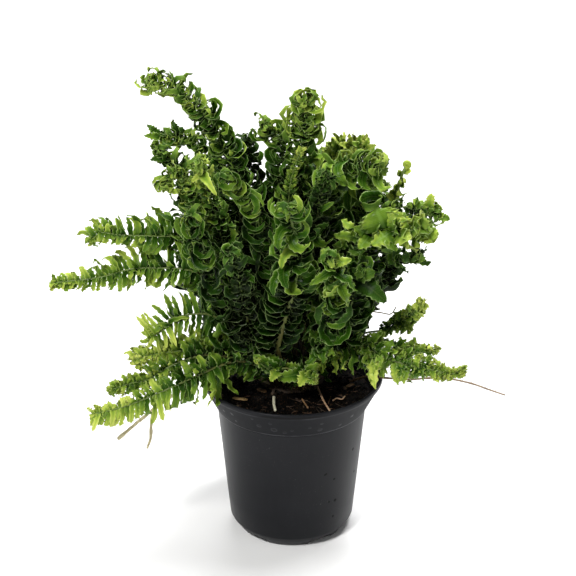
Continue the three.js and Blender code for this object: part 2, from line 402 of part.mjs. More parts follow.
function add(name, geo, color, roughness, metalness = 0) {
  const g = geo.clone();
  g.computeVertexNormals();
  const m = new THREE.Mesh(g, new THREE.MeshStandardMaterial({ color: new THREE.Color(...color), roughness, metalness }));
  m.name = name;
  m.material.name = name;
  group.add(m);
}

add('pot', potSolid(), [0.035, 0.036, 0.038], 0.42);
add('soil', soilSolid(), [0.018, 0.013, 0.01], 0.95);
add('crown', crownSolid(), [0.06, 0.035, 0.02], 0.9);

// dark, middle, fresh and yellow greens
const GREENS = [[0.02, 0.06, 0.01], [0.05, 0.13, 0.015], [0.11, 0.24, 0.03], [0.25, 0.36, 0.05]];
function green(t) {
  const k = Math.min(2.999, Math.max(0, t * 3));
  const i = Math.floor(k);
  return [0, 1, 2].map((c) => GREENS[i][c] + (GREENS[i + 1][c] - GREENS[i][c]) * (k - i));
}

for (const f of FRONDS) add('frond_' + f.n, frondSolid(f), green(f.tone), 0.5);

for (const s of STEMS) {
  let g = stemSolid(s.p, s.r0, s.r1, s.step, s.sides, s.round);
  if (s.knob) {
    // the coiled tip, as a thick rounded disc across the stem's end
    const k = s.knob;
    const prof = [[0, -k.t / 2], [k.r * 0.72, -k.t / 2], [k.r, -k.t * 0.16], [k.r, k.t * 0.16], [k.r * 0.72, k.t / 2], [0, k.t / 2]];
    const disc = weld(new THREE.LatheGeometry(prof.map((q) => new THREE.Vector2(q[0], q[1])), 14));
    disc.translate(k.c[0], k.c[1], k.c[2]);
    g = fromManifold(toManifold(g).add(toManifold(disc)));
  }
  for (const b of s.forks || []) {
    const fork = stemSolid(b.p, b.r0, b.r1, s.step, s.sides, false);
    g = fromManifold(toManifold(g).add(toManifold(fork)));
  }
  add(s.n, g, s.color, 0.7);
}

// flat chip of bark lying on the soil
function chipSolid(c, len, wid, thick, turn) {
  const s = new THREE.Shape();
  s.moveTo(-len / 2, 0);
  s.lineTo(-len * 0.28, -wid * 0.42);
  s.lineTo(len * 0.2, -wid * 0.5);
  s.lineTo(len / 2, -wid * 0.1);
  s.lineTo(len * 0.3, wid * 0.45);
  s.lineTo(-len * 0.3, wid * 0.4);
  s.closePath();
  const g = new THREE.ExtrudeGeometry(s, { depth: thick, bevelEnabled: false, steps: 1 });
  g.rotateZ(THREE.MathUtils.degToRad(turn));
  g.translate(c[0], c[1], c[2]);
  return weld(g);
}
for (const c of CHIPS) add(c.n, chipSolid(c.p, c.len, c.wid, c.thick, c.turn), c.color, 0.85);

export { frondSolid, stemSolid, toManifold, group, soilTop, crownTop };
export default group;
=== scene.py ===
import math

import bpy
import numpy as np
from mathutils import Matrix, Vector


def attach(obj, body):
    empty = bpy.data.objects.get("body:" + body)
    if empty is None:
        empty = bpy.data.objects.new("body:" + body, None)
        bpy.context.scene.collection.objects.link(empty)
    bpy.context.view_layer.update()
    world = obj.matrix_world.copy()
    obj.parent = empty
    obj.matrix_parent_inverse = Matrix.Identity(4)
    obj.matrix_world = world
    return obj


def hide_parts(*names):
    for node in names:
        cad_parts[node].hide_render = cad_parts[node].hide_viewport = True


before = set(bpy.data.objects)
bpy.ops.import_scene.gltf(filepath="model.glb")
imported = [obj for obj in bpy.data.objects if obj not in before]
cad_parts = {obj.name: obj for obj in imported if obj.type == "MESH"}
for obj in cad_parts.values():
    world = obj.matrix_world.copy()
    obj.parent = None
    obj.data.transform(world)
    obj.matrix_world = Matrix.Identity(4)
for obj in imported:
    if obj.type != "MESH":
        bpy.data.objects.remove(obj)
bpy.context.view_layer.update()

scene = bpy.context.scene

# ---------------------------------------------------------------- sizes, metres
MM = 0.001
POT_H = 0.1028
LIP_R = 0.0550
LIP_ROLL = 0.0032
FLARE_LOW_R = 0.0464
LEDGE_Z = 0.0842
BODY_TOP_R = 0.0452
CHAMFER_Z = 0.0078
CHAMFER_R = 0.0381
BASE_R = 0.0327
WALL = 0.0011
FLOOR_T = 0.0015
ARCHES = 5
ARCH_FIRST = math.radians(32.5)
ARCH_W = 0.0170
ARCH_H = 0.0036
SOIL_Z = 0.0904
SOIL_DOME = 0.0016
CROWN_Y = 0.0120
CROWN_R = 0.0200
CROWN_H = 0.0046
GAP = 0.0003
PITCH = math.radians(24.76)      # the camera looks down by this
VIEW_DIST = 1.026

# ---------------------------------------------------------------- camera
fw = Vector((0, math.cos(PITCH), -math.sin(PITCH)))
up = Vector((0, math.sin(PITCH), math.cos(PITCH)))
rt = Vector((1, 0, 0))
F_PX = 1700.0
aim = fw + rt * ((291.6 - 288) / F_PX) - up * ((371.4 - 288) / F_PX)
cam_pos = Vector((0, 0, POT_H)) - aim * VIEW_DIST
cam_data = bpy.data.cameras.new("camera")
cam_data.sensor_width = 36.0
cam_data.lens = F_PX / 576 * 36.0
cam_data.clip_start = 0.05
cam_data.clip_end = 20
cam = bpy.data.objects.new("camera", cam_data)
scene.collection.objects.link(cam)
cam.matrix_world = Matrix(((rt.x, up.x, -fw.x, cam_pos.x), (rt.y, up.y, -fw.y, cam_pos.y), (rt.z, up.z, -fw.z, cam_pos.z), (0, 0, 0, 1)))
scene.camera = cam

# ---------------------------------------------------------------- plant table
# (name, kind, tone, half width mm, bare stalk mm, way it faces in degrees, points mm)
FRONDS = [
    ("top_left", "ring", 0.35, 11, 28, -10,
     [(-7.2, 14.7, 96.9), (-16.6, 5, 128.2), (-24.6, 3, 162.1), (-28.4, 1.8, 194.6), (-33.8, 0.8, 223.6), (-38.6, -0.4, 243.6), (-43.4, -1.9, 256.7), (-49.3, -3.1, 267.2), (-56.9, -4.2, 276.4), (-65.6, -5.5, 283.2), (-74.3, -6.8, 287.1), (-83.7, -8, 284.6)]),
    ("upper_left_a", "ring", 0.25, 11, 28, -25,
     [(-8.7, 22.3, 95.5), (-29.6, 20.2, 126.1), (-40.6, 20.2, 159.5), (-46.6, 20, 192.1), (-49.6, 20.2, 218.6), (-53.3, 20.6, 237.1), (-60.1, 20.6, 244.5), (-69.3, 20, 245.9), (-78, 18.9, 244.5)]),
    ("upper_left_b", "frill", 0.35, 10, 28, -20,
     [(-12.5, 12, 95.8), (-33.6, 11, 125.2), (-48.4, 5.9, 160.7), (-55.6, -0.9, 194.5), (-58.9, -11.7, 223.6), (-64, -14.5, 241), (-70.9, -16, 248.7), (-79.9, -14.9, 250.1)]),
    ("left_hook", "ring", 0.4, 9, 30, -25,
     [(-10.5, 7.1, 96.1), (-31, 3.8, 125.4), (-45.1, -3, 158.3), (-52.9, -11.2, 189.4), (-56.5, -18.7, 216.7), (-60.2, -23.7, 235.5), (-65.4, -26.3, 242.5), (-70, -27.5, 237), (-71.3, -28.6, 228.5)]),
    ("left_bright", "frill", 0.9, 10, 30, -10,
     [(-6.6, 6.9, 96.8), (-23.6, -2.5, 131.8), (-33.6, -9.1, 167.5), (-40, -14.2, 195.1), (-44.6, -18.7, 217.3), (-48.6, -22.7, 232.8), (-51, -26, 244.7), (-51.8, -28.5, 253.3)]),
    ("mid_left", "ring", 0.45, 10, 24, -5,
     [(-4.8, 2.5, 96.3), (-11.6, -7.4, 134.3), (-12.6, -14.8, 163.8), (-14.2, -22, 189.7), (-19, -28.3, 212.1), (-26, -33.7, 228.1), (-34, -38, 240.5), (-43.1, -42, 248.4)]),
    ("centre_front", "ring", 0.5, 13, 14, 0,
     [(-0.7, 0.3, 96), (-8.1, -15.8, 124), (-4.5, -25.1, 148.1), (0.7, -35.3, 170.8), (2.8, -45.9, 191.7), (1.7, -48.5, 209.7), (-1.1, -52.2, 226.7), (-2.7, -55.6, 236.3)]),
    ("centre_rosette", "ring", 0.65, 10, 14, 8,
     [(6.4, -0.2, 95.4), (17.6, -27.2, 134.3), (24, -38.9, 159.3), (25.2, -46.8, 179.8), (22.7, -53.4, 197.4), (17.5, -58.5, 209.2)]),
    ("right_col", "frill", 0.45, 11, 16, 18,
     [(8.9, -0.1, 95), (24.9, -17.4, 129.3), (31.9, -26.2, 149.9), (34.9, -31.2, 167), (36.8, -35.6, 181.5), (40.3, -41.6, 194.6)]),
    ("centre_up", "ring", 0.5, 10.5, 26, 6,
     [(3.2, 6.6, 97.1), (8, 0.4, 130.4), (10.7, -5.8, 162.8), (12.8, -11.3, 190.7), (14.9, -16.1, 214.4), (17.5, -19.4, 230.3), (20.7, -22, 242)]),
    ("top_centre", "crest", 0.55, 11, 30, 0,
     [(7.8, 8.7, 96.8), (5.1, 11.1, 125.2), (6.1, 7.9, 159.8), (6, 5.1, 193.2), (4.7, 2.1, 222.5), (4.1, -1.6, 245.2), (6.2, -7.7, 262.9), (7.8, -13, 275.3), (5.5, -16.2, 285.6)]),
    ("top_centre_left", "ring", 0.5, 10.5, 30, -8,
     [(-0.5, 15.7, 97.4), (-3.4, 15.5, 123), (-7.6, 13.8, 157.1), (-9.2, 12.1, 190.2), (-7.4, 10.6, 217.3), (-5.1, 9.4, 236.3), (-6.8, 8.9, 248.1), (-12.4, 8.5, 254.2), (-21.6, 8, 255.6)]),
    ("top_mid_left", "ring", 0.3, 10.5, 30, -15,
     [(-4, 20.2, 96.7), (-10.7, 20.4, 120.6), (-16.6, 20.8, 153.9), (-20, 21.2, 186.4), (-22.8, 21.5, 211.8), (-23.8, 21.7, 229.2), (-25.4, 21.9, 240.9), (-26.5, 22, 248.3)]),
    ("spiky", "flat", 0.8, 6, 50, 0,
     [(0, 10.6, 97.6), (1.4, 6.4, 127.5), (-0.4, 1.1, 162.9), (-2.2, -3.1, 190.3), (-2.2, -6.2, 210.4), (-1, -8.7, 226.1), (1.8, -10.8, 239), (6.2, -13, 251.2)]),
    ("dome_top", "crest", 0.9, 9, 30, 5,
     [(6.4, 16.1, 96.9), (14.8, 14.4, 130.3), (18.1, 13.1, 164), (19.6, 11.9, 193.5), (19.3, 10.8, 216), (20.9, 9.8, 230.6), (26, 9.2, 240.1), (33.9, 8.6, 243.9), (43.1, 8, 242.3)]),
    ("dome_arch", "ring", 0.6, 11, 28, 12,
     [(7.3, 12.7, 97), (17.1, 8.3, 129.9), (20.2, 3.4, 165.1), (19.9, -0.7, 194.3), (20.2, -3.2, 216.6), (24.6, -5, 232), (33, -6.1, 239.1), (43.1, -7.4, 239.6), (53.3, -9.3, 234.2)]),
    ("dome_right", "frill", 0.6, 9.5, 28, 20,
     [(11.1, 19.1, 95.6), (20.5, 25.7, 121.4), (32.2, 22.4, 156.5), (39.3, 19.5, 187.1), (43.7, 19.4, 209.5), (46.3, 19.7, 223.2), (48.5, 19.9, 232.4), (50.1, 20, 237.9)]),
    ("right_bright", "frill", 0.8, 10, 28, 15,
     [(12.8, 9.3, 95.6), (25.9, 4.2, 135.2), (35.5, 0.4, 163.2), (43.2, -2.8, 185.8), (51.3, -6, 204.1), (60.8, -8.3, 212.5), (69.7, -10.4, 213.9), (78.2, -12.1, 212.2), (85.2, -13.4, 206.5)]),
    ("right_yellow", "frill", 1, 12, 24, 10,
     [(9.5, 4.5, 95.9), (20.3, -7.7, 134.4), (26.8, -17.6, 165.1), (30.9, -24, 188.1), (37.9, -28.3, 201.7), (48.3, -32.4, 207.1), (60.3, -36.1, 209.9), (69, -38.2, 211.4), (76, -40.3, 213.5)]),
    ("right_mid", "frill", 0.25, 9.5, 28, 30,
     [(15.7, 14.1, 94.7), (32.7, 24.4, 122), (45.9, 16.4, 148), (54.7, 6.8, 163.6), (62.4, 1.3, 173.1), (71.4, -0.9, 180.5), (79.5, -1.4, 182.6)]),
    ("right_ring", "ring", 0.35, 9.5, 18, 30,
     [(9.7, 7.8, 96.3), (28.9, -0.3, 124.1), (36.9, -4.6, 141.5), (42.3, -10.5, 155.3), (46.9, -18.6, 168.7), (49.2, -24.9, 179.8)]),
    ("flat_upper_left", "flat", 0.45, 13, 34, -10,
     [(-15.4, 14.7, 94.8), (-28.1, 13.4, 130.8), (-41.4, 10.4, 161.9), (-51, 7.1, 179.6), (-62.3, 2.8, 189.1), (-82.3, -1.6, 192.2), (-99.7, -1.1, 192.7), (-111.6, 1.1, 193), (-117.9, 2.7, 185.9)]),
    ("flat_long_left", "flat", 0.6, 10.5, 34, -10,
     [(-11.4, 10.3, 96.1), (-31, 6.4, 127.5), (-43.6, 2, 154.7), (-53.7, -2.5, 168.4), (-64.1, -4.6, 172.6), (-76.1, -0.3, 171.3), (-93.6, -0.9, 170.9), (-111.5, -5.5, 167.9), (-129.5, -7.2, 166), (-141, -8.6, 165.4)]),
    ("flat_mid_left", "flat", 0.65, 10, 22, -12,
     [(-15.3, 3.6, 94.1), (-24.9, -3.4, 119), (-37.5, -9.6, 138.6), (-49.6, -13.4, 147.6), (-61.2, -15.1, 147.8), (-72.4, -15.4, 144.7), (-72.2, -18.6, 142.4), (-80.4, -21, 137.1), (-87.4, -23, 132.8)]),
    ("low_left_yellow", "flat", 0.95, 8, 22, -12,
     [(-9.5, 4.6, 95.9), (-21.9, -4.2, 115.4), (-33.6, -8.8, 123), (-46.5, -13.5, 126.1), (-56.9, -16.9, 126.5), (-70.1, -21.8, 127), (-82.8, -25.6, 127), (-93.1, -28.3, 124.4)]),
    ("low_left_dark", "flat", 0.4, 8.5, 22, -12,
     [(-11.4, 0, 94.5), (-24.7, -13.1, 114.6), (-37.6, -17.3, 121.4), (-50.8, -21.9, 125.1), (-62.4, -25.4, 123.6), (-74, -28.5, 119.2), (-84.5, -31.3, 113.5), (-95.4, -34.6, 112.6), (-106.8, -38.2, 109.9)]),
    ("low_left_long", "flat", 0.6, 10, 14, -10,
     [(-7.2, -1.6, 94.9), (-19.9, -15.2, 114.3), (-32.7, -23.6, 122), (-46.3, -33.2, 121.7), (-57.6, -41.3, 120.1), (-70.1, -45.9, 116), (-83.6, -45.6, 109.3), (-95.9, -46.2, 104.4), (-108.9, -50, 102.5), (-116.5, -49.9, 101.1)]),
    ("front_crenate", "flat", 0.9, 5.5, 5, 0,
     [(-3.4, -4.7, 94.3), (0.8, -23.1, 115.1), (-4.5, -23, 117.1), (-10.4, -25.1, 116.2), (-16.2, -30.6, 122.3), (-21.8, -37.8, 131.2)]),
    ("front_tuft", "flat", 0.9, 6.5, 4, 5,
     [(5.6, -3.6, 94.4), (6.7, -17, 111.3), (9.6, -21.6, 113), (12.5, -27.4, 113.4), (14.7, -34, 112.9)]),
    ("low_right_fan", "flat", 0.65, 11, 14, 10,
     [(9.7, 1.7, 95.3), (18.1, -7.7, 119.8), (26.2, -11.5, 128.4), (36.6, -16.5, 130.9), (48.1, -24.2, 128.2), (61.2, -31.1, 125.2), (74, -32.7, 122.8), (85.2, -31.7, 119.6), (93.7, -29.7, 116.6), (100.5, -34.8, 123.2)]),
    ("low_right_upper", "flat", 0.85, 7.5, 44, 10,
     [(14.4, 2.5, 94.2), (27.6, -5, 122.5), (39.3, -8.9, 131.1), (50.3, -12.3, 130.7), (61.4, -15.9, 127.3), (70.7, -18.8, 125.5), (79.9, -21.6, 126.9), (87.2, -24, 130.7)]),
    ("right_small", "flat", 0.7, 7, 20, 15,
     [(15.2, 9.3, 94.9), (28.2, 13, 114.1), (36.9, 6, 123.7), (46.9, 2.8, 127.9), (55.2, 1.4, 130), (63.8, -2, 136.9), (70.4, -6.4, 144.3), (75.8, -9.9, 151.2), (75.4, -11.8, 157.9)]),
    ("back_top_left", "frill", 0.3, 9, 30, -20,
     [(-6.4, 22.9, 95.8), (-18.1, 27, 124.2), (-26.5, 33.1, 158.4), (-31.1, 38.6, 188.9), (-33.3, 43.1, 217.4), (-33.7, 46, 234.1)]),
    ("back_left", "ring", 0.2, 10, 28, -30,
     [(-11.2, 22.2, 95), (-30.6, 33.6, 121), (-47.8, 46.2, 152.5), (-57.5, 55.6, 177.3), (-62.3, 62, 194.6)]),
    ("back_centre", "ring", 0.2, 10, 28, 0,
     [(0, 24.9, 95.7), (0.3, 37.2, 126.1), (-0.9, 51, 160.5), (0.3, 61.4, 186.2), (1.5, 70, 207.2)]),
    ("back_right_top", "ring", 0.25, 11, 28, 15,
     [(5.6, 23.6, 95.7), (12.6, 32, 128.6), (17.3, 39, 165.7), (20.2, 45.2, 196), (18.9, 50.8, 214.5), (16.5, 56, 224.8)]),
    ("back_right", "ring", 0.2, 10, 28, 25,
     [(10.4, 21.5, 95.3), (23.9, 41.9, 123.9), (37.4, 54.3, 159.1), (48.4, 60.4, 181.9), (55.6, 64.5, 196.2)]),
    ("back_right_low", "frill", 0.2, 9, 26, 35,
     [(14.4, 19.5, 94.6), (32.9, 31.1, 120.8), (48.7, 46.5, 135.4), (57.1, 57.2, 144.2)]),
    ("back_left_low", "frill", 0.2, 9, 26, -35,
     [(-13.4, 17.4, 95.2), (-30.5, 29.8, 116), (-46.5, 36.1, 133.5), (-53.7, 36.8, 141.3)]),
    ("back_low", "frill", 0.2, 10, 24, 0,
     [(2.4, 27, 95), (4, 33.6, 114.1), (6.7, 64.4, 123.6), (9.4, 90.4, 130.8)]),
    ("back_low_right", "frill", 0.2, 10, 24, 20,
     [(9, 25.7, 94.5), (18.9, 35.8, 109.6), (32.6, 58.7, 117.2), (41.3, 76, 121.8)]),
    ("back_low_left", "frill", 0.2, 10, 24, -20,
     [(-6.4, 26.3, 94.8), (-10.9, 35.4, 111.8), (-22.4, 62.2, 119.8), (-30.4, 82.1, 123.2)]),
    ("left_inner", "ring", 0.25, 10.5, 22, -15,
     [(-6.8, 4.9, 96.5), (-25.9, -10.9, 126.1), (-36.9, -22.3, 153.2), (-44.8, -30.9, 176.3), (-48.8, -35.7, 196.9), (-52.8, -37.5, 212.3), (-57.3, -41.2, 225.8)]),
    ("left_olive", "frill", 0.5, 10, 20, -8,
     [(-6.4, 1.1, 95.8), (-21, -16.3, 125.5), (-25.8, -27.8, 152), (-28.7, -38.6, 176.1), (-31.6, -47.3, 194.1), (-35.6, -53.9, 208.5)]),
]
STEMS = {
    "fiddlehead": [(13.5, 15, 95.4), (24.5, 14, 123.8), (36.1, 12, 151.4), (46.3, 10, 175.1), (54.1, 9, 192.8), (58.9, 8, 207.7), (61.1, 8, 214.6), (62.6, 8, 222.1), (64.2, 8, 228.2), (65.4, 8, 230.7)],
    "runner_right": [(35.6, 6.3, 92.6), (43.7, -1, 99.5), (49.3, -9, 104.4), (53.3, -12.1, 105), (61.5, -14, 105.3), (70.3, -16, 105.7), (82.2, -16, 106.7), (94.2, -15, 105.5), (106.3, -14, 102.3), (118.6, -13, 97.1), (127.9, -12, 93.1)],
    "dead_stem_right": [(14.5, 6.5, 94.8), (30.8, 2, 126.3), (37.7, 0, 137.9), (44.7, 0, 142.5), (52.5, 0, 142.2), (59, 0, 141.2), (61.9, 0, 145.8)],
    "dead_stem_left": [(-14.5, 6, 94.8), (-23.8, 2, 114.9), (-32.1, 0, 126.6), (-40.3, -2, 131.6), (-47.4, -4, 128.6), (-53.4, -5, 121.8)],
    "dead_runner_left": [(-13, 1, 94.3), (-25, -6, 104.2), (-36.7, -12, 111.3), (-48.4, -17, 110.6), (-60.2, -21, 104.7), (-72, -24, 98.3), (-81.6, -26, 91.3), (-91.2, -28, 83.6), (-103.3, -30, 73.2)],
    "root_twig": [(15.3, -3.3, 94.6), (17.2, -14.6, 95.2), (19.7, -24.7, 94.6), (22.6, -31.6, 93)],
    "stick_pale": [(-10.6, -14.1, 92.9), (-10.5, -22.6, 92.8), (-9.7, -30.4, 92.7)],
    "stick_small": [(6.2, -16.1, 92.6), (7.9, -21.6, 92.6), (9.7, -26.8, 92.4)],
    "root_curl": [(24.7, -17.2, 92.2), (27.1, -14.6, 92.3), (30.1, -15.9, 92.3), (32, -11.7, 92.3)],
}
COIL_AT = (66.1, 8, 232.8)
FORK = [(-80.4, -25.7, 92.5), (-82.9, -26, 86.5), (-83.7, -27, 77.6), (-84.5, -28, 70.6), (-86.4, -28, 65.8)]
CHIPS = {
    "bark_chip_left": ((-30.9, -15.1, 91.8), 9.4, 2.8, -14),
    "bark_chip_right": ((35.5, 2.1, 91.7), 6.2, 3, 35),
    "bark_chip_mid": ((-17.9, -5, 92.1), 6.8, 3.4, -40),
}

RNG = np.random.default_rng(4711)


# ---------------------------------------------------------------- small helpers
def unit(v):
    return v / np.maximum(np.linalg.norm(v, axis=-1, keepdims=True), 1e-9)


def ss(a, b, x):
    t = np.clip((x - a) / (b - a), 0, 1)
    return t * t * (3 - 2 * t)


def spline(pts):
    """Centripetal Catmull-Rom curve through the points: places and lengths along it, mm."""
    P = np.array(pts, float)
    P = np.vstack([2 * P[0] - P[1], P, 2 * P[-1] - P[-2]])
    out = []
    for i in range(1, len(P) - 2):
        p0, p1, p2, p3 = P[i - 1:i + 3]
        t0 = 0.0
        t1 = t0 + max(1e-4, np.linalg.norm(p1 - p0)) ** 0.5
        t2 = t1 + max(1e-4, np.linalg.norm(p2 - p1)) ** 0.5
        t3 = t2 + max(1e-4, np.linalg.norm(p3 - p2)) ** 0.5
        t = np.linspace(t1, t2, 40, endpoint=False)[:, None]
        a1 = (t1 - t) / (t1 - t0) * p0 + (t - t0) / (t1 - t0) * p1
        a2 = (t2 - t) / (t2 - t1) * p1 + (t - t1) / (t2 - t1) * p2
        a3 = (t3 - t) / (t3 - t2) * p2 + (t - t2) / (t3 - t2) * p3
        b1 = (t2 - t) / (t2 - t0) * a1 + (t - t0) / (t2 - t0) * a2
        b2 = (t3 - t) / (t3 - t1) * a2 + (t - t1) / (t3 - t1) * a3
        out.append((t2 - t) / (t2 - t1) * b1 + (t - t1) / (t2 - t1) * b2)
    C = np.vstack(out + [P[-2:-1]])
    S = np.concatenate([[0], np.cumsum(np.linalg.norm(np.diff(C, axis=0), axis=1))])
    return C, S


def at(C, S, s):
    s = np.clip(np.asarray(s, float), 0, S[-1])
    return np.stack([np.interp(s, S, C[:, k]) for k in range(3)], -1)


def along(C, S, s):
    s = np.asarray(s, float)
    return unit(at(C, S, np.minimum(s + 0.6, S[-1])) - at(C, S, np.maximum(s - 0.6, 0)))


class Builder:
    """Collects vertices, quads, per-vertex values, per-corner UVs and material numbers for one mesh."""

    def __init__(self):
        self.v, self.q, self.a, self.b, self.uv, self.m, self.n = [], [], [], [], [], [], 0

    def add(self, v, q, a=None, b=None, uv=None, m=0):
        v = np.asarray(v, float).reshape(-1, 3)
        q = np.asarray(q, int)
        self.v.append(v)
        self.q.append(q + self.n)
        self.a.append(np.zeros((len(v), 3)) if a is None else np.asarray(a, float).reshape(-1, 3))
        self.b.append(np.zeros((len(v), 3)) if b is None else np.asarray(b, float).reshape(-1, 3))
        self.uv.append(np.zeros((len(q), 4, 2)) if uv is None else np.asarray(uv, float).reshape(-1, 4, 2))
        self.m.append(np.full(len(q), m, int))
        self.n += len(v)

    def mesh(self, name, materials, uv=False, attrs=True):
        v = np.vstack(self.v) * MM
        q = np.vstack(self.q)
        me = bpy.data.meshes.new(name)
        me.vertices.add(len(v))
        me.vertices.foreach_set("co", v.astype(np.float32).ravel())
        me.loops.add(q.size)
        me.loops.foreach_set("vertex_index", q.astype(np.int32).ravel())
        me.polygons.add(len(q))
        me.polygons.foreach_set("loop_start", np.arange(0, q.size, 4, dtype=np.int32))
        me.polygons.foreach_set("loop_total", np.full(len(q), 4, np.int32))
        me.polygons.foreach_set("material_index", np.concatenate(self.m).astype(np.int32))
        me.polygons.foreach_set("use_smooth", np.ones(len(q), bool))
        if uv:
            me.uv_layers.new(name="OFBake")
            me.uv_layers["OFBake"].data.foreach_set("uv", np.vstack(self.uv).astype(np.float32).ravel())
        if attrs:
            for key, arr in (("leaf", self.a), ("age", self.b)):
                at_ = me.attributes.new(key, "FLOAT_VECTOR", "POINT")
                at_.data.foreach_set("vector", np.vstack(arr).astype(np.float32).ravel())
        for m in materials:
            me.materials.append(m)
        me.update(calc_edges=True)
        me.validate()
        return me


def piece(name, me, node=None):
    ob = bpy.data.objects.new(name, me)
    scene.collection.objects.link(ob)
    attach(ob, "root")
    if node:
        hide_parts(*([node] if isinstance(node, str) else node))
    return ob


def tube(B, pts, radii, sides=8, m=0, a=None, uvbox=None, up=None, close=True, wob=0.0):
    """Closed round tube through the points (mm)."""
    P = np.asarray(pts, float)
    n = len(P)
    T = unit(np.gradient(P, axis=0))
    u = np.array([0.31, -0.9, 0.3]) if up is None else np.asarray(up, float)
    U = np.zeros_like(P)
    for i in range(n):
        u = u - T[i] * u.dot(T[i])
        u = u / max(1e-6, np.linalg.norm(u))
        U[i] = u
    Bn = np.cross(T, U)
    ang = np.arange(sides) / sides * 2 * np.pi
    r = np.broadcast_to(np.asarray(radii, float), (n,))
    rr = r[:, None] * (1 + wob * RNG.uniform(-1, 1, (n, sides)))
    V = P[:, None] + rr[..., None] * (np.cos(ang)[None, :, None] * Bn[:, None] + np.sin(ang)[None, :, None] * -U[:, None])
    V = V.reshape(-1, 3)
    i, j = np.meshgrid(np.arange(n - 1), np.arange(sides), indexing="ij")
    j2 = (j + 1) % sides
    q = np.stack([i * sides + j, i * sides + j2, (i + 1) * sides + j2, (i + 1) * sides + j], -1).reshape(-1, 4)
    u0, v0, u1, v1 = uvbox or (0, 0, 1, 1)
    U0 = u0 + (u1 - u0) * i / (n - 1)
    U1 = u0 + (u1 - u0) * (i + 1) / (n - 1)
    V0 = v0 + (v1 - v0) * j / sides
    V1 = v0 + (v1 - v0) * (j + 1) / sides
    uv = np.stack([np.stack([U0, V0], -1), np.stack([U0, V1], -1), np.stack([U1, V1], -1), np.stack([U1, V0], -1)], -2).reshape(-1, 4, 2)
    if close:
        # rounded ends: a point set out past each end and a quad fan to it, folded on the middle line
        caps, cuv = [], []
        base = len(V)
        ends = []
        for k, sgn in ((0, -1), (n - 1, 1)):
            ends.append(P[k] + T[k] * sgn * r[k] * 0.6)
        V = np.vstack([V, ends])
        for e, k in ((0, 0), (1, n - 1)):
            for jj in range(0, sides, 2):
                a0, a1, a2 = k * sides + jj, k * sides + (jj + 1) % sides, k * sides + (jj + 2) % sides
                caps.append([base + e, a2, a1, a0] if e == 0 else [base + e, a0, a1, a2])
                x = u0 if e == 0 else u1
                w = 0.012 * (u1 - u0) * (-1 if e == 0 else 1)
                y0, y1 = v0 + (v1 - v0) * jj / sides, v0 + (v1 - v0) * (jj + 2) / sides
                c4 = [(x + w, (y0 + y1) / 2), (x, y1), (x, (y0 + y1) / 2), (x, y0)]
                cuv.append(c4 if e == 0 else [(x + w, (y0 + y1) / 2), (x, y0), (x, (y0 + y1) / 2), (x, y1)])
        q = np.vstack([q, caps])
        uv = np.concatenate([uv, np.array(cuv)])
    B.add(V, q, a=None if a is None else np.broadcast_to(a, (len(V), 3)), uv=uv, m=m)


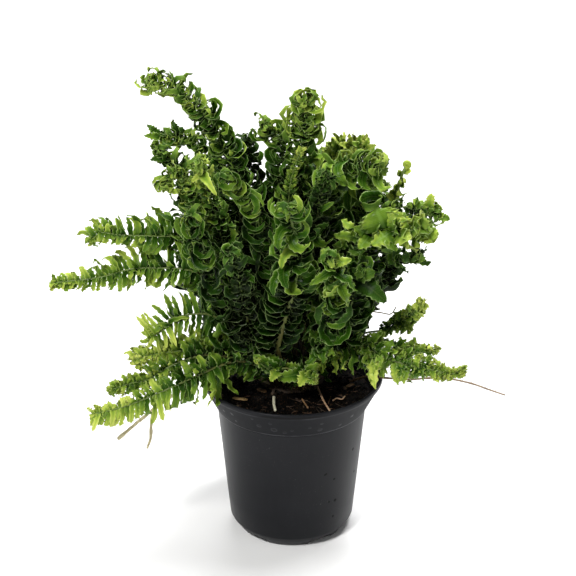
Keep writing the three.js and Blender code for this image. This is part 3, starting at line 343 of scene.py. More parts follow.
# ---------------------------------------------------------------- leaflets
def leaflets(B, o, e1, e2, tt, L, hw, th0, kap, pw, tau, dtau, fr, crn, drift, cup, tipq, rnd, tone, age, upper, nu, nv, cell, ncell, m=0, thick=0.26, root=0.40):
    """P curling leaflets at once, each a thin closed blade. All lengths mm, angles in radians."""
    P = len(L)
    u = np.linspace(0, 1, nu)
    fine = np.linspace(0, 1, (nu - 1) * 8 + 1)
    col = lambda x: np.asarray(x, float)[:, None]
    thf = col(th0) + col(kap) * fine[None] ** col(pw)
    du = 1 / (len(fine) - 1)
    bef = col(drift) * fine[None] ** 1.2
    run = lambda f: np.concatenate([np.zeros((P, 1)), np.cumsum((f[:, 1:] + f[:, :-1]) / 2 * du, 1)], 1)[:, ::8] * col(L)
    X, Y, Z = run(np.cos(bef) * np.cos(thf)), run(np.cos(bef) * np.sin(thf)), run(np.sin(bef))
    th, be = thf[:, ::8], bef[:, ::8]
    e1, e2, tt = e1[:, None], e2[:, None], tt[:, None]
    c3 = lambda x: x[..., None]
    mid = o[:, None] + e1 * c3(X) + e2 * c3(Y) + tt * c3(Z)
    t = e1 * c3(np.cos(th)) + e2 * c3(np.sin(th))
    n = -e1 * c3(np.sin(th)) + e2 * c3(np.cos(th))
    across = c3(np.cos(be)) * tt - c3(np.sin(be)) * t
    ta = col(tau) * (0.35 + 0.65 * ss(0, 0.35, u)[None]) + col(dtau) * u[None]
    w = c3(np.cos(ta)) * across - c3(np.sin(ta)) * n
    b = c3(np.cos(ta)) * n + c3(np.sin(ta)) * across
    prof = (root + (1 - root) * ss(0.0, 0.16, u))[None] * np.clip(1 - u[None] ** col(tipq), 0, 1) ** 0.62 + 0.05
    prof = prof * (1 + 0.10 * np.sin(u[None] * 9 + col(rnd) * 20))
    half = col(hw) * prof
    v = np.linspace(-1, 1, nv)
    av = np.abs(v)
    row = np.arange(nu)
    tooth_p = 1 + col(crn) * np.where((row % 2) == 0, 1.0, -1.0)[None]
    tooth_m = 1 + col(crn) * np.where((row % 2) == 1, 1.0, -1.0)[None]
    ear = 1 + 0.35 * np.exp(-((u - 0.12) / 0.07) ** 2)[None]
    wid = np.where((v > 0)[None, None, :], (tooth_p * ear)[..., None], tooth_m[..., None])
    wid = 1 + (wid - 1) * (av ** 3)[None, None, :]
    off = half[..., None] * v[None, None] * wid
    k1 = 2.2 + 2.2 * np.asarray(rnd)[:, None]
    ph = np.asarray(rnd)[:, None] * 37.0
    wave = np.sin(2 * np.pi * k1 * u[None] + ph)[..., None] * (av ** 1.6)[None, None] * ss(0.03, 0.2, u)[None, :, None]
    wave2 = np.sin(2 * np.pi * (k1 * 2.1) * u[None] + ph * 1.7)[..., None] * ((v > 0) * av ** 2 - 0.8 * (v < 0) * av ** 2)[None, None]
    lift = col(fr)[..., None] * (wave + 0.55 * wave2) + (col(cup) * half)[..., None] * (av ** 2)[None, None]
    lift = lift + (-0.09 * np.exp(-(v / 0.22) ** 2))[None, None] * (half[..., None] > 0.5)
    pos = mid[:, :, None] + w[:, :, None] * c3(off) + b[:, :, None] * c3(lift)
    thk = thick * (0.45 + 0.55 * (1 - av ** 2))[None, None] * (0.55 + 0.45 * (1 - u[None, :, None]))
    top = pos + b[:, :, None] * c3(np.broadcast_to(thk / 2, pos.shape[:3]))
    bot = pos - b[:, :, None] * c3(np.broadcast_to(thk / 2, pos.shape[:3]))
    V = np.concatenate([top.reshape(P, -1, 3), bot.reshape(P, -1, 3)], 1)
    nn = nu * nv
    # faces of one leaflet
    i, j = np.meshgrid(np.arange(nu - 1), np.arange(nv - 1), indexing="ij")
    f = lambda ii, jj: ii * nv + jj
    tq = np.stack([f(i, j), f(i + 1, j), f(i + 1, j + 1), f(i, j + 1)], -1).reshape(-1, 4)
    bq = tq[:, ::-1] + nn
    I = np.arange(nu - 1)
    r1 = np.stack([f(I, 0), f(I, 0) + nn, f(I + 1, 0) + nn, f(I + 1, 0)], -1)
    r2 = np.stack([f(I, nv - 1), f(I + 1, nv - 1), f(I + 1, nv - 1) + nn, f(I, nv - 1) + nn], -1)
    J = np.arange(nv - 1)
    r3 = np.stack([f(0, J), f(0, J + 1), f(0, J + 1) + nn, f(0, J) + nn], -1)
    r4 = np.stack([f(nu - 1, J), f(nu - 1, J) + nn, f(nu - 1, J + 1) + nn, f(nu - 1, J + 1)], -1)
    Q = np.vstack([tq, bq, r1, r2, r3, r4])
    # corner UVs in the unit cell: upper side below, under side above, rims in thin strips
    ua = 0.03 + 0.94 * u
    vt = 0.05 + 0.40 * (v + 1) / 2
    vb = 0.95 - 0.40 * (v + 1) / 2
    top_uv = np.stack(np.broadcast_arrays(ua[:, None], vt[None]), -1).reshape(-1, 2)
    bot_uv = np.stack(np.broadcast_arrays(ua[:, None], vb[None]), -1).reshape(-1, 2)
    base_uv = np.vstack([top_uv, bot_uv])
    QU = base_uv[Q].copy()
    o1 = len(tq) + len(bq)
    n1 = len(r1)
    QU[o1:o1 + n1, 1:3, 1] = 0.015
    QU[o1:o1 + n1, [0, 3], 1] = 0.042
    o3 = o1 + n1 + len(r2)
    QU[o3:o3 + len(r3), :2, 0] = 0.024
    QU[o3:o3 + len(r3), 2:, 0] = 0.006
    QU[o3:o3 + len(r3), 2, 1] = QU[o3:o3 + len(r3), 1, 1]
    QU[o3:o3 + len(r3), 3, 1] = QU[o3:o3 + len(r3), 0, 1]
    o4 = o3 + len(r3)
    QU[o4:, [0, 3], 0] = 0.976
    QU[o4:, 1:3, 0] = 0.994
    QU[o4:, 1, 1] = QU[o4:, 0, 1]
    QU[o4:, 2, 1] = QU[o4:, 3, 1]
    hand = np.einsum("pi,pi->p", np.cross(e1[:, 0], tt[:, 0]), e2[:, 0]) > 0
    allq = np.where(hand[:, None, None], Q[None], Q[None, :, ::-1]) + (np.arange(P) * 2 * nn)[:, None, None]
    alluv = np.where(hand[:, None, None, None], QU[None], QU[None, :, ::-1])
    side = ncell
    ids = np.asarray(cell)
    ox, oy = (ids % side) / side, (ids // side) / side
    alluv = alluv / side + np.stack([ox, oy], -1)[:, None, None]
    one = np.ones((P, nu, nv))
    ev = np.broadcast_to(av[None, None], (P, nu, nv))
    A = np.stack([ev, one * u[None, :, None], one * np.asarray(rnd)[:, None, None]], -1).reshape(P, -1, 3)
    A = np.concatenate([A, A], 1)
    upt = np.where(np.asarray(upper)[:, None, None], 1.0, 0.0) * one
    Bt = np.stack([one * np.asarray(tone)[:, None, None], one * np.asarray(age)[:, None, None], upt], -1).reshape(P, -1, 3)
    Bb = np.stack([one * np.asarray(tone)[:, None, None], one * np.asarray(age)[:, None, None], 1 - upt], -1).reshape(P, -1, 3)
    B.add(V.reshape(-1, 3), allq.reshape(-1, 4), a=A.reshape(-1, 3), b=np.concatenate([Bt, Bb], 1).reshape(-1, 3), uv=alluv.reshape(-1, 4, 2), m=m)


def share(t):
    return np.maximum(0.12, np.minimum(1, 0.5 + t / 0.24) * np.clip(1 - t ** 2.2, 0, 1) ** 0.72)


# per-kind habit: leaflet spacing mm, half width mm, length as a multiple of the frond's half width, curl and so on
KEYS = ("pitch", "hw", "len", "th0", "curl", "dcurl", "pw", "sweep", "swt", "dsw", "phi", "dphi", "tau", "dtau", "fr", "crn", "cup", "q", "low", "inner", "bend", "open")
HABIT = {
    #         pitch  hw    len   th0   curl  dcurl pw   sweep swt  dsw phi  dphi tau dtau fr    crn   cup   q    low   inner bend open
    # leaflets rolled over the front of the blade into nested bowls
    "fold":  (4.5, 2.60, 2.55, 0.25, 4.40, 1.10, 1.05, 4, 22, 12, -62, 25, 50, 20, 0.60, 0.10, 0.10, 3.2, 0.34, 0.25, 0.00, 0.12),
    # a row of bowls on each side of the stalk
    "ring":  (4.1, 2.50, 2.45, 1.10, -4.9, 1.20, 1.05, 4, 24, 13, -48, 28, -52, 20, 0.60, 0.10, 0.10, 3.2, 0.30, 0.15, 0.00, 0.16),
    "curl":  (3.8, 2.25, 2.75, 0.80, -5.3, 1.30, 1.30, 6, 26, 14, -50, 36, -42, 26, 0.60, 0.11, 0.12, 2.8, 0.42, 0.40, 0.00, 0.22),
    "frill": (4.1, 2.75, 2.10, 0.80, -3.9, 1.60, 1.15, 10, 28, 14, -32, 32, -38, 26, 1.00, 0.13, 0.14, 2.8, 0.45, 0.40, 0.00, 0.28),
    "crest": (3.0, 2.10, 2.10, 0.80, -3.6, 1.40, 1.15, 12, 32, 16, -20, 34, -30, 28, 0.80, 0.14, 0.12, 2.6, 0.55, 0.45, 0.00, 0.25),
    "flat":  (4.6, 2.10, 1.45, 0.40, -2.2, 0.95, 1.70, -6, 20, 9, 0, 16, -8, 26, 0.80, 0.15, 0.16, 4.6, 0.34, 0.40, 0.60, 0.30),
}
OWN = {
    "top_left": dict(kind="curl", pitch=2.8, hw=2.45, len=2.65, tone=0.62, tipr=0.85, fr=0.7, inner=0.7, open=0.10),
    "upper_left_a": dict(kind="curl", pitch=3.0, hw=2.4, len=2.5, tone=0.50, tipr=0.8, inner=0.6),
    "upper_left_b": dict(len=2.35, tone=0.46, pitch=3.7),
    "left_hook": dict(kind="curl", pitch=3.1, len=2.3, hw=2.3, tone=0.74, tipr=0.85, inner=0.5),
    "top_centre_left": dict(kind="curl", pitch=2.9, hw=2.45, len=2.8, tone=0.58, tipr=1.0, inner=0.6),
    "top_mid_left": dict(kind="curl", pitch=3.2, hw=2.3, len=2.5, tone=0.26, inner=0.5),
    "top_centre": dict(kind="curl", pitch=3.0, hw=2.4, len=2.6, tone=0.72, low=0.62, inner=0.6, dphi=24, crn=0.18, fr=1.0),
    "left_inner": dict(kind="fold", tone=0.26),
    "mid_left": dict(kind="fold", dphi=12, dsw=6, dcurl=0.5, dtau=12, len=2.9, tone=0.42),
    "centre_front": dict(dphi=20, dcurl=1.0, len=2.25, tone=0.44, thick=2.1, nest=(0.10, 0.50)),
    "centre_up": dict(kind="frill", tone=0.40, len=1.9),
    "centre_rosette": dict(kind="fold", tone=0.58, crn=0.15, bare=44, base=0.52, fr=0.8),
    "right_ring": dict(kind="fold", tone=0.40, len=2.5),
    "right_col": dict(bare=34, tone=0.45),
    "left_bright": dict(hw=2.6, pitch=3.7, fine=1, tone=0.72, len=1.8, fr=1.2),
    "left_olive": dict(hw=3.0, fr=0.9, tone=0.12),
    "dome_arch": dict(len=2.5, tone=0.76, phi=-20, pitch=3.7, inner=0.7),
    "dome_right": dict(len=2.3, pitch=3.6, tone=0.75, inner=0.7),
    "dome_top": dict(kind="comb", tone=1.10),
    "right_mid": dict(len=2.7, pitch=3.3, hw=2.9, up=1.25, lo=0.72, bare=44, tone=0.42, inner=0.6),
    "flat_upper_left": dict(pitch=4.5, hw=2.35, len=1.55, sweep=-12, stand=0.45, up=1.45, lo=0.90, low=0.45, bend=0.85, tone=0.46, tip=0.75),
    "flat_long_left": dict(pitch=3.9, hw=2.05, len=1.62, sweep=-8, stand=0.30, up=1.32, lo=1.12, low=0.30, bend=0.75, tone=0.66, tip=0.75),
    "flat_mid_left": dict(pitch=4.6, hw=1.75, len=1.95, sweep=-4, dsw=4, dcurl=0.4, curl=-1.3, stand=0.10, up=1.20, lo=1.0, low=0.60, bend=0.05, cup=0.1, tone=0.72, dead=5, fr=0.5),
    "low_left_yellow": dict(pitch=3.5, hw=2.0, len=1.80, fr=0.8, stand=0.35, up=1.2, low=0.5, tone=0.90),
    "low_left_dark": dict(pitch=4.3, hw=2.1, len=1.65, fr=0.9, dcurl=1.2, stand=0.2, low=0.48, tone=0.58),
    "low_left_long": dict(pitch=4.4, hw=2.2, len=1.50, stand=0.45, up=0.85, lo=1.66, low=0.56, bend=0.45, tone=0.70, tip=0.62, base=0.52),
    "low_right_fan": dict(pitch=3.4, hw=2.8, len=1.50, stand=0.35, fr=1.8, crn=0.14, lo=1.02, up=0.88, bend=0.35, tone=0.68, curl=-2.4, dcurl=1.3, q=4.0, base=1.15, ruffle=1, tip=0.55),
    "low_right_upper": dict(pitch=3.4, hw=2.4, len=1.30, lo=0.72, fr=1.4, bend=0.3, tone=0.74, curl=-2.2, dcurl=1.3, q=4.0, ruffle=1, bare=58, base=0.25),
    "right_small": dict(pitch=3.1, hw=2.9, len=1.38, fr=1.6, bend=0.3, tone=0.84, curl=-2.4, dcurl=1.2, bare=56, base=0.5, q=4.0, ruffle=1),
    "front_crenate": dict(pitch=6.5, hw=2.8, len=0.85, tone=0.66, fr=0.9, crn=0.22, bend=0.2, inner=0.2),
    "front_tuft": dict(pitch=6.5, hw=2.8, len=0.95, tone=0.74, fr=0.9, crn=0.22, bend=0.2, inner=0.2),
    "spiky": dict(pitch=3.2, hw=1.2, len=1.5, sweep=30, swt=20, dsw=8, cup=0.1, inner=0.0, bend=0.0),
    "right_yellow": dict(kind="kale", tone=0.78),
    "right_bright": dict(hw=2.4, len=2.0, up=0.9, lo=1.35, tone=0.62, bare=40),
    "back_right": dict(len=2.7, pitch=3.8),
    "back_right_top": dict(len=2.8, pitch=3.8),
}
HABIT["comb"] = (2.3, 1.55, 1.50, 0.45, -2.5, 0.90, 1.30, 2, 26, 10, 0, 26, -12, 30, 0.60, 0.14, 0.20, 4.0, 0.70, 0.50, -0.30, 0.30)
HABIT["kale"] = (5.4, 5.80, 1.20, 0.70, -1.7, 0.90, 1.10, 6, 24, 12, -18, 24, -24, 24, 1.50, 0.12, 0.16, 6.0, 0.72, 0.25, 0.00, 0.35)
SHIFT = {"flat": 0.10, "frill": 0.04, "crest": 0.06, "ring": 0.00, "curl": 0.04, "fold": 0.02, "comb": 0.06, "kale": 0.04}
FLIP = {"frill": 0.22, "crest": 0.22, "curl": 0.15, "flat": 0.30, "ring": 0.03, "fold": 0.04, "comb": 0.25, "kale": 0.35}
TIPS = {"crest": (26, 12, 1.35), "curl": (12, 4.5, 0.85), "frill": (11, 4.5, 1.0), "ring": (10, 4.5, 0.9), "fold": (11, 4.5, 0.85),
        "flat": (4, 3.5, 0), "comb": (5, 3.5, 0), "kale": (5, 4.0, 0.42)}


# single leaves, listed one by one: frond, place along the stalk, way to the tip (right, up, towards the viewer) mm,
# half width mm, own values
LEAVES = [
    ("left_bright", 0.92, (9.4, -14.6, 7.0), 2.8, {'curl': -1.5, 'th0': 0.9, 'tone': 1.02, 'cup': 0.35, 'q': 1.5}),
    ("left_bright", 0.912, (-6.4, -4.7, 6.0), 2.6, {'curl': -1.4, 'th0': 0.8, 'tone': 0.98, 'q': 1.6, 'crn': 0.16}),
    ("left_bright", 0.929, (-7.5, 1.6, 4.0), 2.4, {'curl': -1.6, 'th0': 0.7, 'tone': 0.92, 'q': 1.8, 'crn': 0.18}),
    ("top_left", 0.749, (-5.4, -7.1, 10.0), 3.2, {'curl': 1.6, 'th0': -0.5, 'tone': 0.78, 'cup': 0.55, 'q': 2.6}),
    ("upper_left_a", 0.981, (-8.8, 7.0, 3.0), 2.8, {'curl': -1.0, 'th0': 0.5, 'tone': 0.62, 'q': 1.7, 'crn': 0.2, 'fr': 1.0}),
    ("upper_left_a", 0.981, (-10.3, 1.1, 5.0), 2.6, {'curl': -1.2, 'th0': 0.6, 'tone': 0.55, 'q': 1.7, 'crn': 0.2, 'fr': 1.0}),
    ("upper_left_a", 0.924, (-4.6, 7.9, 3.0), 2.4, {'curl': -1.2, 'th0': 0.5, 'tone': 0.6, 'q': 1.8, 'crn': 0.2}),
    ("upper_left_b", 0.927, (-11.3, -2.1, 4.0), 2.6, {'curl': -1.0, 'th0': 0.5, 'tone': 0.5, 'q': 1.8, 'crn': 0.2}),
    ("upper_left_b", 0.865, (-13.3, -7.4, 5.0), 2.4, {'curl': -1.3, 'th0': 0.6, 'tone': 0.72, 'q': 1.9, 'crn': 0.18}),
    ("centre_rosette", 0.871, (-13.0, -10.0, 7.0), 3.2, {'curl': -1.1, 'th0': 0.5, 'tone': 0.86, 'q': 1.5, 'crn': 0.16, 'fr': 0.8}),
    ("centre_rosette", 0.895, (10.2, 2.7, 5.0), 3.0, {'curl': -1.6, 'th0': 0.8, 'tone': 1.02, 'q': 1.8, 'crn': 0.12, 'fr': 1.0}),
    ("centre_rosette", 0.898, (-5.6, 7.4, 4.0), 2.6, {'curl': -1.5, 'th0': 0.7, 'tone': 1.02, 'q': 1.8, 'crn': 0.12, 'fr': 0.8}),
    ("centre_rosette", 0.847, (9.0, -6.7, 8.0), 3.6, {'curl': -3.6, 'th0': 1.0, 'tone': 0.72, 'crn': 0.2, 'fr': 1.0, 'tau': -45}),
    ("centre_rosette", 0.799, (4.5, -8.9, 9.0), 3.8, {'curl': -3.8, 'th0': 1.0, 'tone': 0.7, 'crn': 0.2, 'fr': 1.0, 'tau': -45}),
    ("centre_rosette", 0.777, (-5.6, -7.9, 9.0), 3.6, {'curl': 3.6, 'th0': -1.0, 'tone': 0.68, 'crn': 0.2, 'fr': 0.9, 'tau': 45}),
    ("right_col", 0.866, (16.7, -13.3, 6.0), 6.4, {'curl': -1.3, 'th0': 0.7, 'tone': 0.42, 'cup': -0.25, 'q': 1.8, 'crn': 0.1, 'fr': 1.5, 'dull': 1}),
    ("right_col", 0.866, (10.4, 3.0, 9.0), 4.6, {'curl': -1.5, 'th0': 0.8, 'tone': 0.5, 'cup': -0.2, 'q': 2.4, 'crn': 0.14, 'fr': 1.3, 'dull': 1}),
    ("centre_up", 0.799, (9.0, 5.7, 6.0), 2.3, {'curl': -1.0, 'th0': 0.5, 'tone': 0.82, 'q': 1.5}),
    ("right_yellow", 0.841, (-6.2, 13.2, 5.0), 10.5, {'curl': -1.7, 'th0': 0.85, 'tone': 0.7, 'cup': -0.42, 'q': 7.0, 'fr': 1.1, 'crn': 0.05, 'tau': 4, 'root': 0.7}),
    ("right_yellow", 0.87, (-2.2, 11.2, 4.0), 7.0, {'curl': -1.5, 'th0': 0.7, 'tone': 0.74, 'cup': -0.3, 'q': 5.0, 'fr': 1.6, 'crn': 0.08, 'tau': -24, 'root': 0.6}),
    ("right_yellow", 0.816, (-3.1, 16.5, 5.0), 3.1, {'curl': 6.9, 'th0': 0.0, 'tone': 0.76, 'cup': -0.12, 'q': 6.0, 'fr': 0.8, 'crn': 0.05, 'tau': 18, 'pw': 1.12, 'roll_r': 5.9, 'axis': [-0.1, -0.16, 0.98], 'start': 10, 'root': 0.9}),
    ("right_yellow", 0.892, (-2.2, 10.4, 4.0), 5.5, {'curl': -1.3, 'th0': 0.6, 'tone': 0.72, 'cup': -0.2, 'q': 4.0, 'fr': 1.6, 'crn': 0.1, 'tau': -20, 'root': 0.6}),
    ("right_yellow", 0.929, (-3.4, 7.9, 3.0), 4.5, {'curl': -1.2, 'th0': 0.5, 'tone': 0.74, 'cup': -0.2, 'q': 4.0, 'fr': 1.4, 'crn': 0.1, 'tau': 20, 'root': 0.6}),
    ("right_yellow", 0.746, (-15.9, 0.6, 6.0), 3.8, {'curl': -1.3, 'th0': 0.6, 'tone': 0.84, 'cup': -0.15, 'q': 2.0, 'fr': 1.5, 'crn': 0.14, 'tau': -25}),
    ("right_yellow", 0.746, (-11.3, 10.2, 4.0), 3.4, {'curl': -1.3, 'th0': 0.6, 'tone': 0.78, 'cup': -0.15, 'q': 2.2, 'fr': 1.3, 'crn': 0.14, 'tau': 20}),
    ("right_yellow", 0.772, (-8.7, 3.8, 7.0), 3.8, {'curl': -1.5, 'th0': 0.8, 'tone': 0.8, 'cup': -0.2, 'q': 3.0, 'fr': 1.5, 'crn': 0.12, 'tau': -15}),
    ("right_yellow", 0.78, (-7.0, -8.8, 8.0), 4.2, {'curl': -1.3, 'th0': 0.7, 'tone': 0.78, 'cup': -0.2, 'q': 2.4, 'fr': 1.6, 'crn': 0.12, 'tau': 15}),
    ("right_yellow", 0.864, (-11.4, -7.1, 6.0), 5.0, {'curl': -1.2, 'th0': 0.5, 'tone': 0.76, 'cup': -0.2, 'q': 3.0, 'fr': 1.6, 'crn': 0.12, 'tau': 20, 'root': 0.6}),
    ("right_yellow", 0.847, (4.4, -10.3, 7.0), 4.5, {'curl': -1.2, 'th0': 0.5, 'tone': 0.88, 'cup': -0.2, 'q': 3.0, 'fr': 1.6, 'crn': 0.12, 'tau': -20, 'root': 0.6}),
    ("right_bright", 0.933, (3.2, 8.9, 3.0), 3.6, {'curl': -1.0, 'th0': 0.4, 'tone': 0.84, 'q': 1.7, 'crn': 0.16, 'fr': 0.7}),
    ("right_bright", 0.967, (8.5, -2.4, 3.0), 3.4, {'curl': -0.9, 'th0': 0.3, 'tone': 0.8, 'q': 1.4, 'crn': 0.16, 'fr': 0.6}),
    ("right_bright", 0.909, (-3.9, 5.1, 2.0), 2.4, {'curl': -1.2, 'th0': 0.4, 'tone': 0.8, 'q': 1.7, 'crn': 0.12}),
    ("right_bright", 0.878, (-0.9, -9.7, -3.0), 1.3, {'curl': -0.8, 'th0': 0.2, 'tone': 0.2, 'q': 2.5}),
    ("right_bright", 0.893, (-0.5, -10.6, -3.0), 1.3, {'curl': -0.8, 'th0': 0.2, 'tone': 0.2, 'q': 2.5}),
    ("right_bright", 0.863, (-1.5, -8.1, -3.0), 1.3, {'curl': -0.8, 'th0': 0.2, 'tone': 0.25, 'q': 2.5}),
    ("right_bright", 0.908, (0.7, -10.2, -3.0), 1.3, {'curl': -0.8, 'th0': 0.2, 'tone': 0.2, 'q': 2.5}),
    ("low_right_fan", 0.205, (-0.2, -12.1, 8.7), 2.5, {'curl': -1.03, 'th0': 0.6, 'tone': 0.89, 'cup': -0.15, 'q': 3.2, 'crn': 0.15, 'fr': 1.7, 'tau': 40}),
    ("low_right_fan", 0.221, (-3.0, -5.4, 6.3), 1.8, {'curl': -1.37, 'th0': 0.6, 'tone': 0.68, 'cup': -0.15, 'q': 3.2, 'crn': 0.15, 'fr': 2.0, 'tau': -40}),
    ("low_right_fan", 0.238, (-2.0, -0.7, 4.0), 2.0, {'curl': -0.88, 'th0': 0.6, 'tone': 0.7, 'cup': -0.15, 'q': 3.2, 'crn': 0.15, 'fr': 1.8, 'tau': -40}),
    ("low_right_fan", 0.248, (-2.3, -14.5, 8.7), 1.7, {'curl': -0.92, 'th0': 0.6, 'tone': 0.77, 'cup': -0.15, 'q': 3.2, 'crn': 0.15, 'fr': 1.9, 'tau': -22}),
    ("low_right_fan", 0.273, (2.1, -9.2, 6.3), 2.2, {'curl': -1.09, 'th0': 0.6, 'tone': 0.57, 'cup': -0.15, 'q': 3.2, 'crn': 0.15, 'fr': 2.5, 'tau': -22}),
    ("low_right_fan", 0.289, (-0.8, -8.7, 4.0), 2.0, {'curl': -1.55, 'th0': 0.6, 'tone': 0.6, 'cup': -0.15, 'q': 3.2, 'crn': 0.15, 'fr': 1.8, 'tau': 22}),
    ("low_right_fan", 0.301, (0.7, -17.5, 8.7), 2.3, {'curl': -1.64, 'th0': 0.6, 'tone': 0.8, 'cup': -0.15, 'q': 3.2, 'crn': 0.15, 'fr': 1.9, 'tau': 22}),
    ("low_right_fan", 0.308, (-1.2, -12.0, 6.3), 1.9, {'curl': -0.85, 'th0': 0.6, 'tone': 0.69, 'cup': -0.15, 'q': 3.2, 'crn': 0.15, 'fr': 2.0, 'tau': 40}),
    ("low_right_fan", 0.319, (-0.1, -9.4, 4.0), 2.2, {'curl': -1.69, 'th0': 0.6, 'tone': 0.59, 'cup': -0.15, 'q': 3.2, 'crn': 0.15, 'fr': 1.8, 'tau': -22}),
    ("low_right_fan", 0.335, (1.8, -16.7, 8.7), 2.1, {'curl': -1.24, 'th0': 0.6, 'tone': 0.88, 'cup': -0.15, 'q': 3.2, 'crn': 0.15, 'fr': 1.9, 'tau': 40}),
    ("low_right_fan", 0.349, (1.7, -14.4, 6.3), 2.5, {'curl': -1.67, 'th0': 0.6, 'tone': 0.69, 'cup': -0.15, 'q': 3.2, 'crn': 0.15, 'fr': 1.8, 'tau': 22}),
    ("low_right_fan", 0.366, (-1.2, -7.8, 4.0), 1.9, {'curl': -1.07, 'th0': 0.6, 'tone': 0.59, 'cup': -0.15, 'q': 3.2, 'crn': 0.15, 'fr': 2.2, 'tau': 22}),
    ("low_right_fan", 0.375, (-1.3, -16.0, 8.7), 2.3, {'curl': -0.8, 'th0': 0.6, 'tone': 0.77, 'cup': -0.15, 'q': 3.2, 'crn': 0.15, 'fr': 1.7, 'tau': 40}),
    ("low_right_fan", 0.387, (-0.4, -14.1, 6.3), 1.9, {'curl': -1.11, 'th0': 0.6, 'tone': 0.56, 'cup': -0.15, 'q': 3.2, 'crn': 0.15, 'fr': 2.5, 'tau': -40}),
    ("low_right_fan", 0.411, (-1.2, -6.9, 4.0), 2.6, {'curl': -1.19, 'th0': 0.6, 'tone': 0.6, 'cup': -0.15, 'q': 3.2, 'crn': 0.15, 'fr': 2.4, 'tau': 40}),
    ("low_right_fan", 0.417, (-1.6, -17.0, 8.7), 2.5, {'curl': -1.43, 'th0': 0.6, 'tone': 0.81, 'cup': -0.15, 'q': 3.2, 'crn': 0.15, 'fr': 2.5, 'tau': -22}),
    ("low_right_fan", 0.441, (-0.0, -6.6, 6.3), 2.4, {'curl': -1.27, 'th0': 0.6, 'tone': 0.59, 'cup': -0.15, 'q': 3.2, 'crn': 0.15, 'fr': 2.0, 'tau': -22}),
    ("low_right_fan", 0.446, (0.2, -3.1, 4.0), 1.9, {'curl': -0.86, 'th0': 0.6, 'tone': 0.72, 'cup': -0.15, 'q': 3.2, 'crn': 0.15, 'fr': 1.8, 'tau': 40}),
    ("low_right_fan", 0.46, (1.8, -11.8, 8.7), 2.0, {'curl': -0.99, 'th0': 0.6, 'tone': 0.86, 'cup': -0.15, 'q': 3.2, 'crn': 0.15, 'fr': 2.3, 'tau': -40}),
    ("low_right_fan", 0.477, (1.4, -4.2, 6.3), 2.0, {'curl': -1.26, 'th0': 0.6, 'tone': 0.66, 'cup': -0.15, 'q': 3.2, 'crn': 0.15, 'fr': 2.3, 'tau': 22}),
    ("low_right_fan", 0.492, (-0.7, -6.9, 4.0), 2.5, {'curl': -1.27, 'th0': 0.6, 'tone': 0.7, 'cup': -0.15, 'q': 3.2, 'crn': 0.15, 'fr': 2.0, 'tau': 22}),
    ("low_right_fan", 0.5, (1.3, -19.4, 8.7), 2.4, {'curl': -1.39, 'th0': 0.6, 'tone': 0.84, 'cup': -0.15, 'q': 3.2, 'crn': 0.15, 'fr': 2.3, 'tau': 40}),
    ("low_right_fan", 0.512, (2.6, -13.8, 6.3), 2.3, {'curl': -0.82, 'th0': 0.6, 'tone': 0.69, 'cup': -0.15, 'q': 3.2, 'crn': 0.15, 'fr': 2.1, 'tau': -22}),
    ("low_right_fan", 0.526, (2.4, -5.1, 4.0), 2.0, {'curl': -1.63, 'th0': 0.6, 'tone': 0.69, 'cup': -0.15, 'q': 3.2, 'crn': 0.15, 'fr': 2.0, 'tau': 40}),
    ("low_right_fan", 0.538, (2.6, -9.1, 8.7), 1.9, {'curl': -0.8, 'th0': 0.6, 'tone': 0.77, 'cup': -0.15, 'q': 3.2, 'crn': 0.15, 'fr': 2.2, 'tau': -22}),
    ("low_right_fan", 0.55, (1.7, -4.1, 6.3), 1.7, {'curl': -1.28, 'th0': 0.6, 'tone': 0.58, 'cup': -0.15, 'q': 3.2, 'crn': 0.15, 'fr': 1.7, 'tau': -22}),
    ("low_right_fan", 0.218, (-2.5, 9.7, 6.0), 3.0, {'curl': -1.4, 'th0': 0.6, 'tone': 0.5, 'cup': -0.15, 'q': 3.0, 'crn': 0.15, 'fr': 2.0, 'tau': 25}),
    ("low_right_fan", 0.251, (0.5, 12.7, 6.0), 3.0, {'curl': -1.4, 'th0': 0.6, 'tone': 0.56, 'cup': -0.15, 'q': 3.0, 'crn': 0.15, 'fr': 2.0, 'tau': 25}),
    ("low_right_fan", 0.292, (2.9, 11.9, 6.0), 2.8, {'curl': -1.4, 'th0': 0.6, 'tone': 0.6, 'cup': -0.15, 'q': 3.0, 'crn': 0.15, 'fr': 2.0, 'tau': 25}),
    ("low_right_fan", 0.338, (2.3, 9.1, 5.0), 2.6, {'curl': -1.4, 'th0': 0.6, 'tone': 0.62, 'cup': -0.15, 'q': 3.0, 'crn': 0.15, 'fr': 2.0, 'tau': 25}),
    ("low_right_fan", 0.375, (2.8, 7.7, 4.0), 2.6, {'curl': -1.4, 'th0': 0.6, 'tone': 0.66, 'cup': -0.15, 'q': 3.0, 'crn': 0.15, 'fr': 2.0, 'tau': 25}),
    ("low_right_fan", 0.278, (-4.7, 1.0, 9.0), 3.0, {'curl': -1.4, 'th0': 0.6, 'tone': 0.48, 'cup': -0.15, 'q': 3.0, 'crn': 0.15, 'fr': 2.0, 'tau': 25}),
    ("low_right_fan", 0.329, (-3.8, 3.5, 9.0), 2.8, {'curl': -1.4, 'th0': 0.6, 'tone': 0.58, 'cup': -0.15, 'q': 3.0, 'crn': 0.15, 'fr': 2.0, 'tau': 25}),
    ("low_right_fan", 0.512, (0.2, -22.3, 9.0), 3.2, {'curl': -0.9, 'th0': 0.5, 'tone': 1.0, 'cup': -0.15, 'q': 2.6, 'crn': 0.18, 'fr': 1.6, 'tau': 15}),
    ("right_col", 0.367, (-7.3, 13.7, 8.0), 3.2, {'curl': -1.5, 'th0': 0.65, 'tone': 0.6, 'cup': -0.15, 'q': 2.8, 'crn': 0.15, 'fr': 2.2, 'tau': 25}),
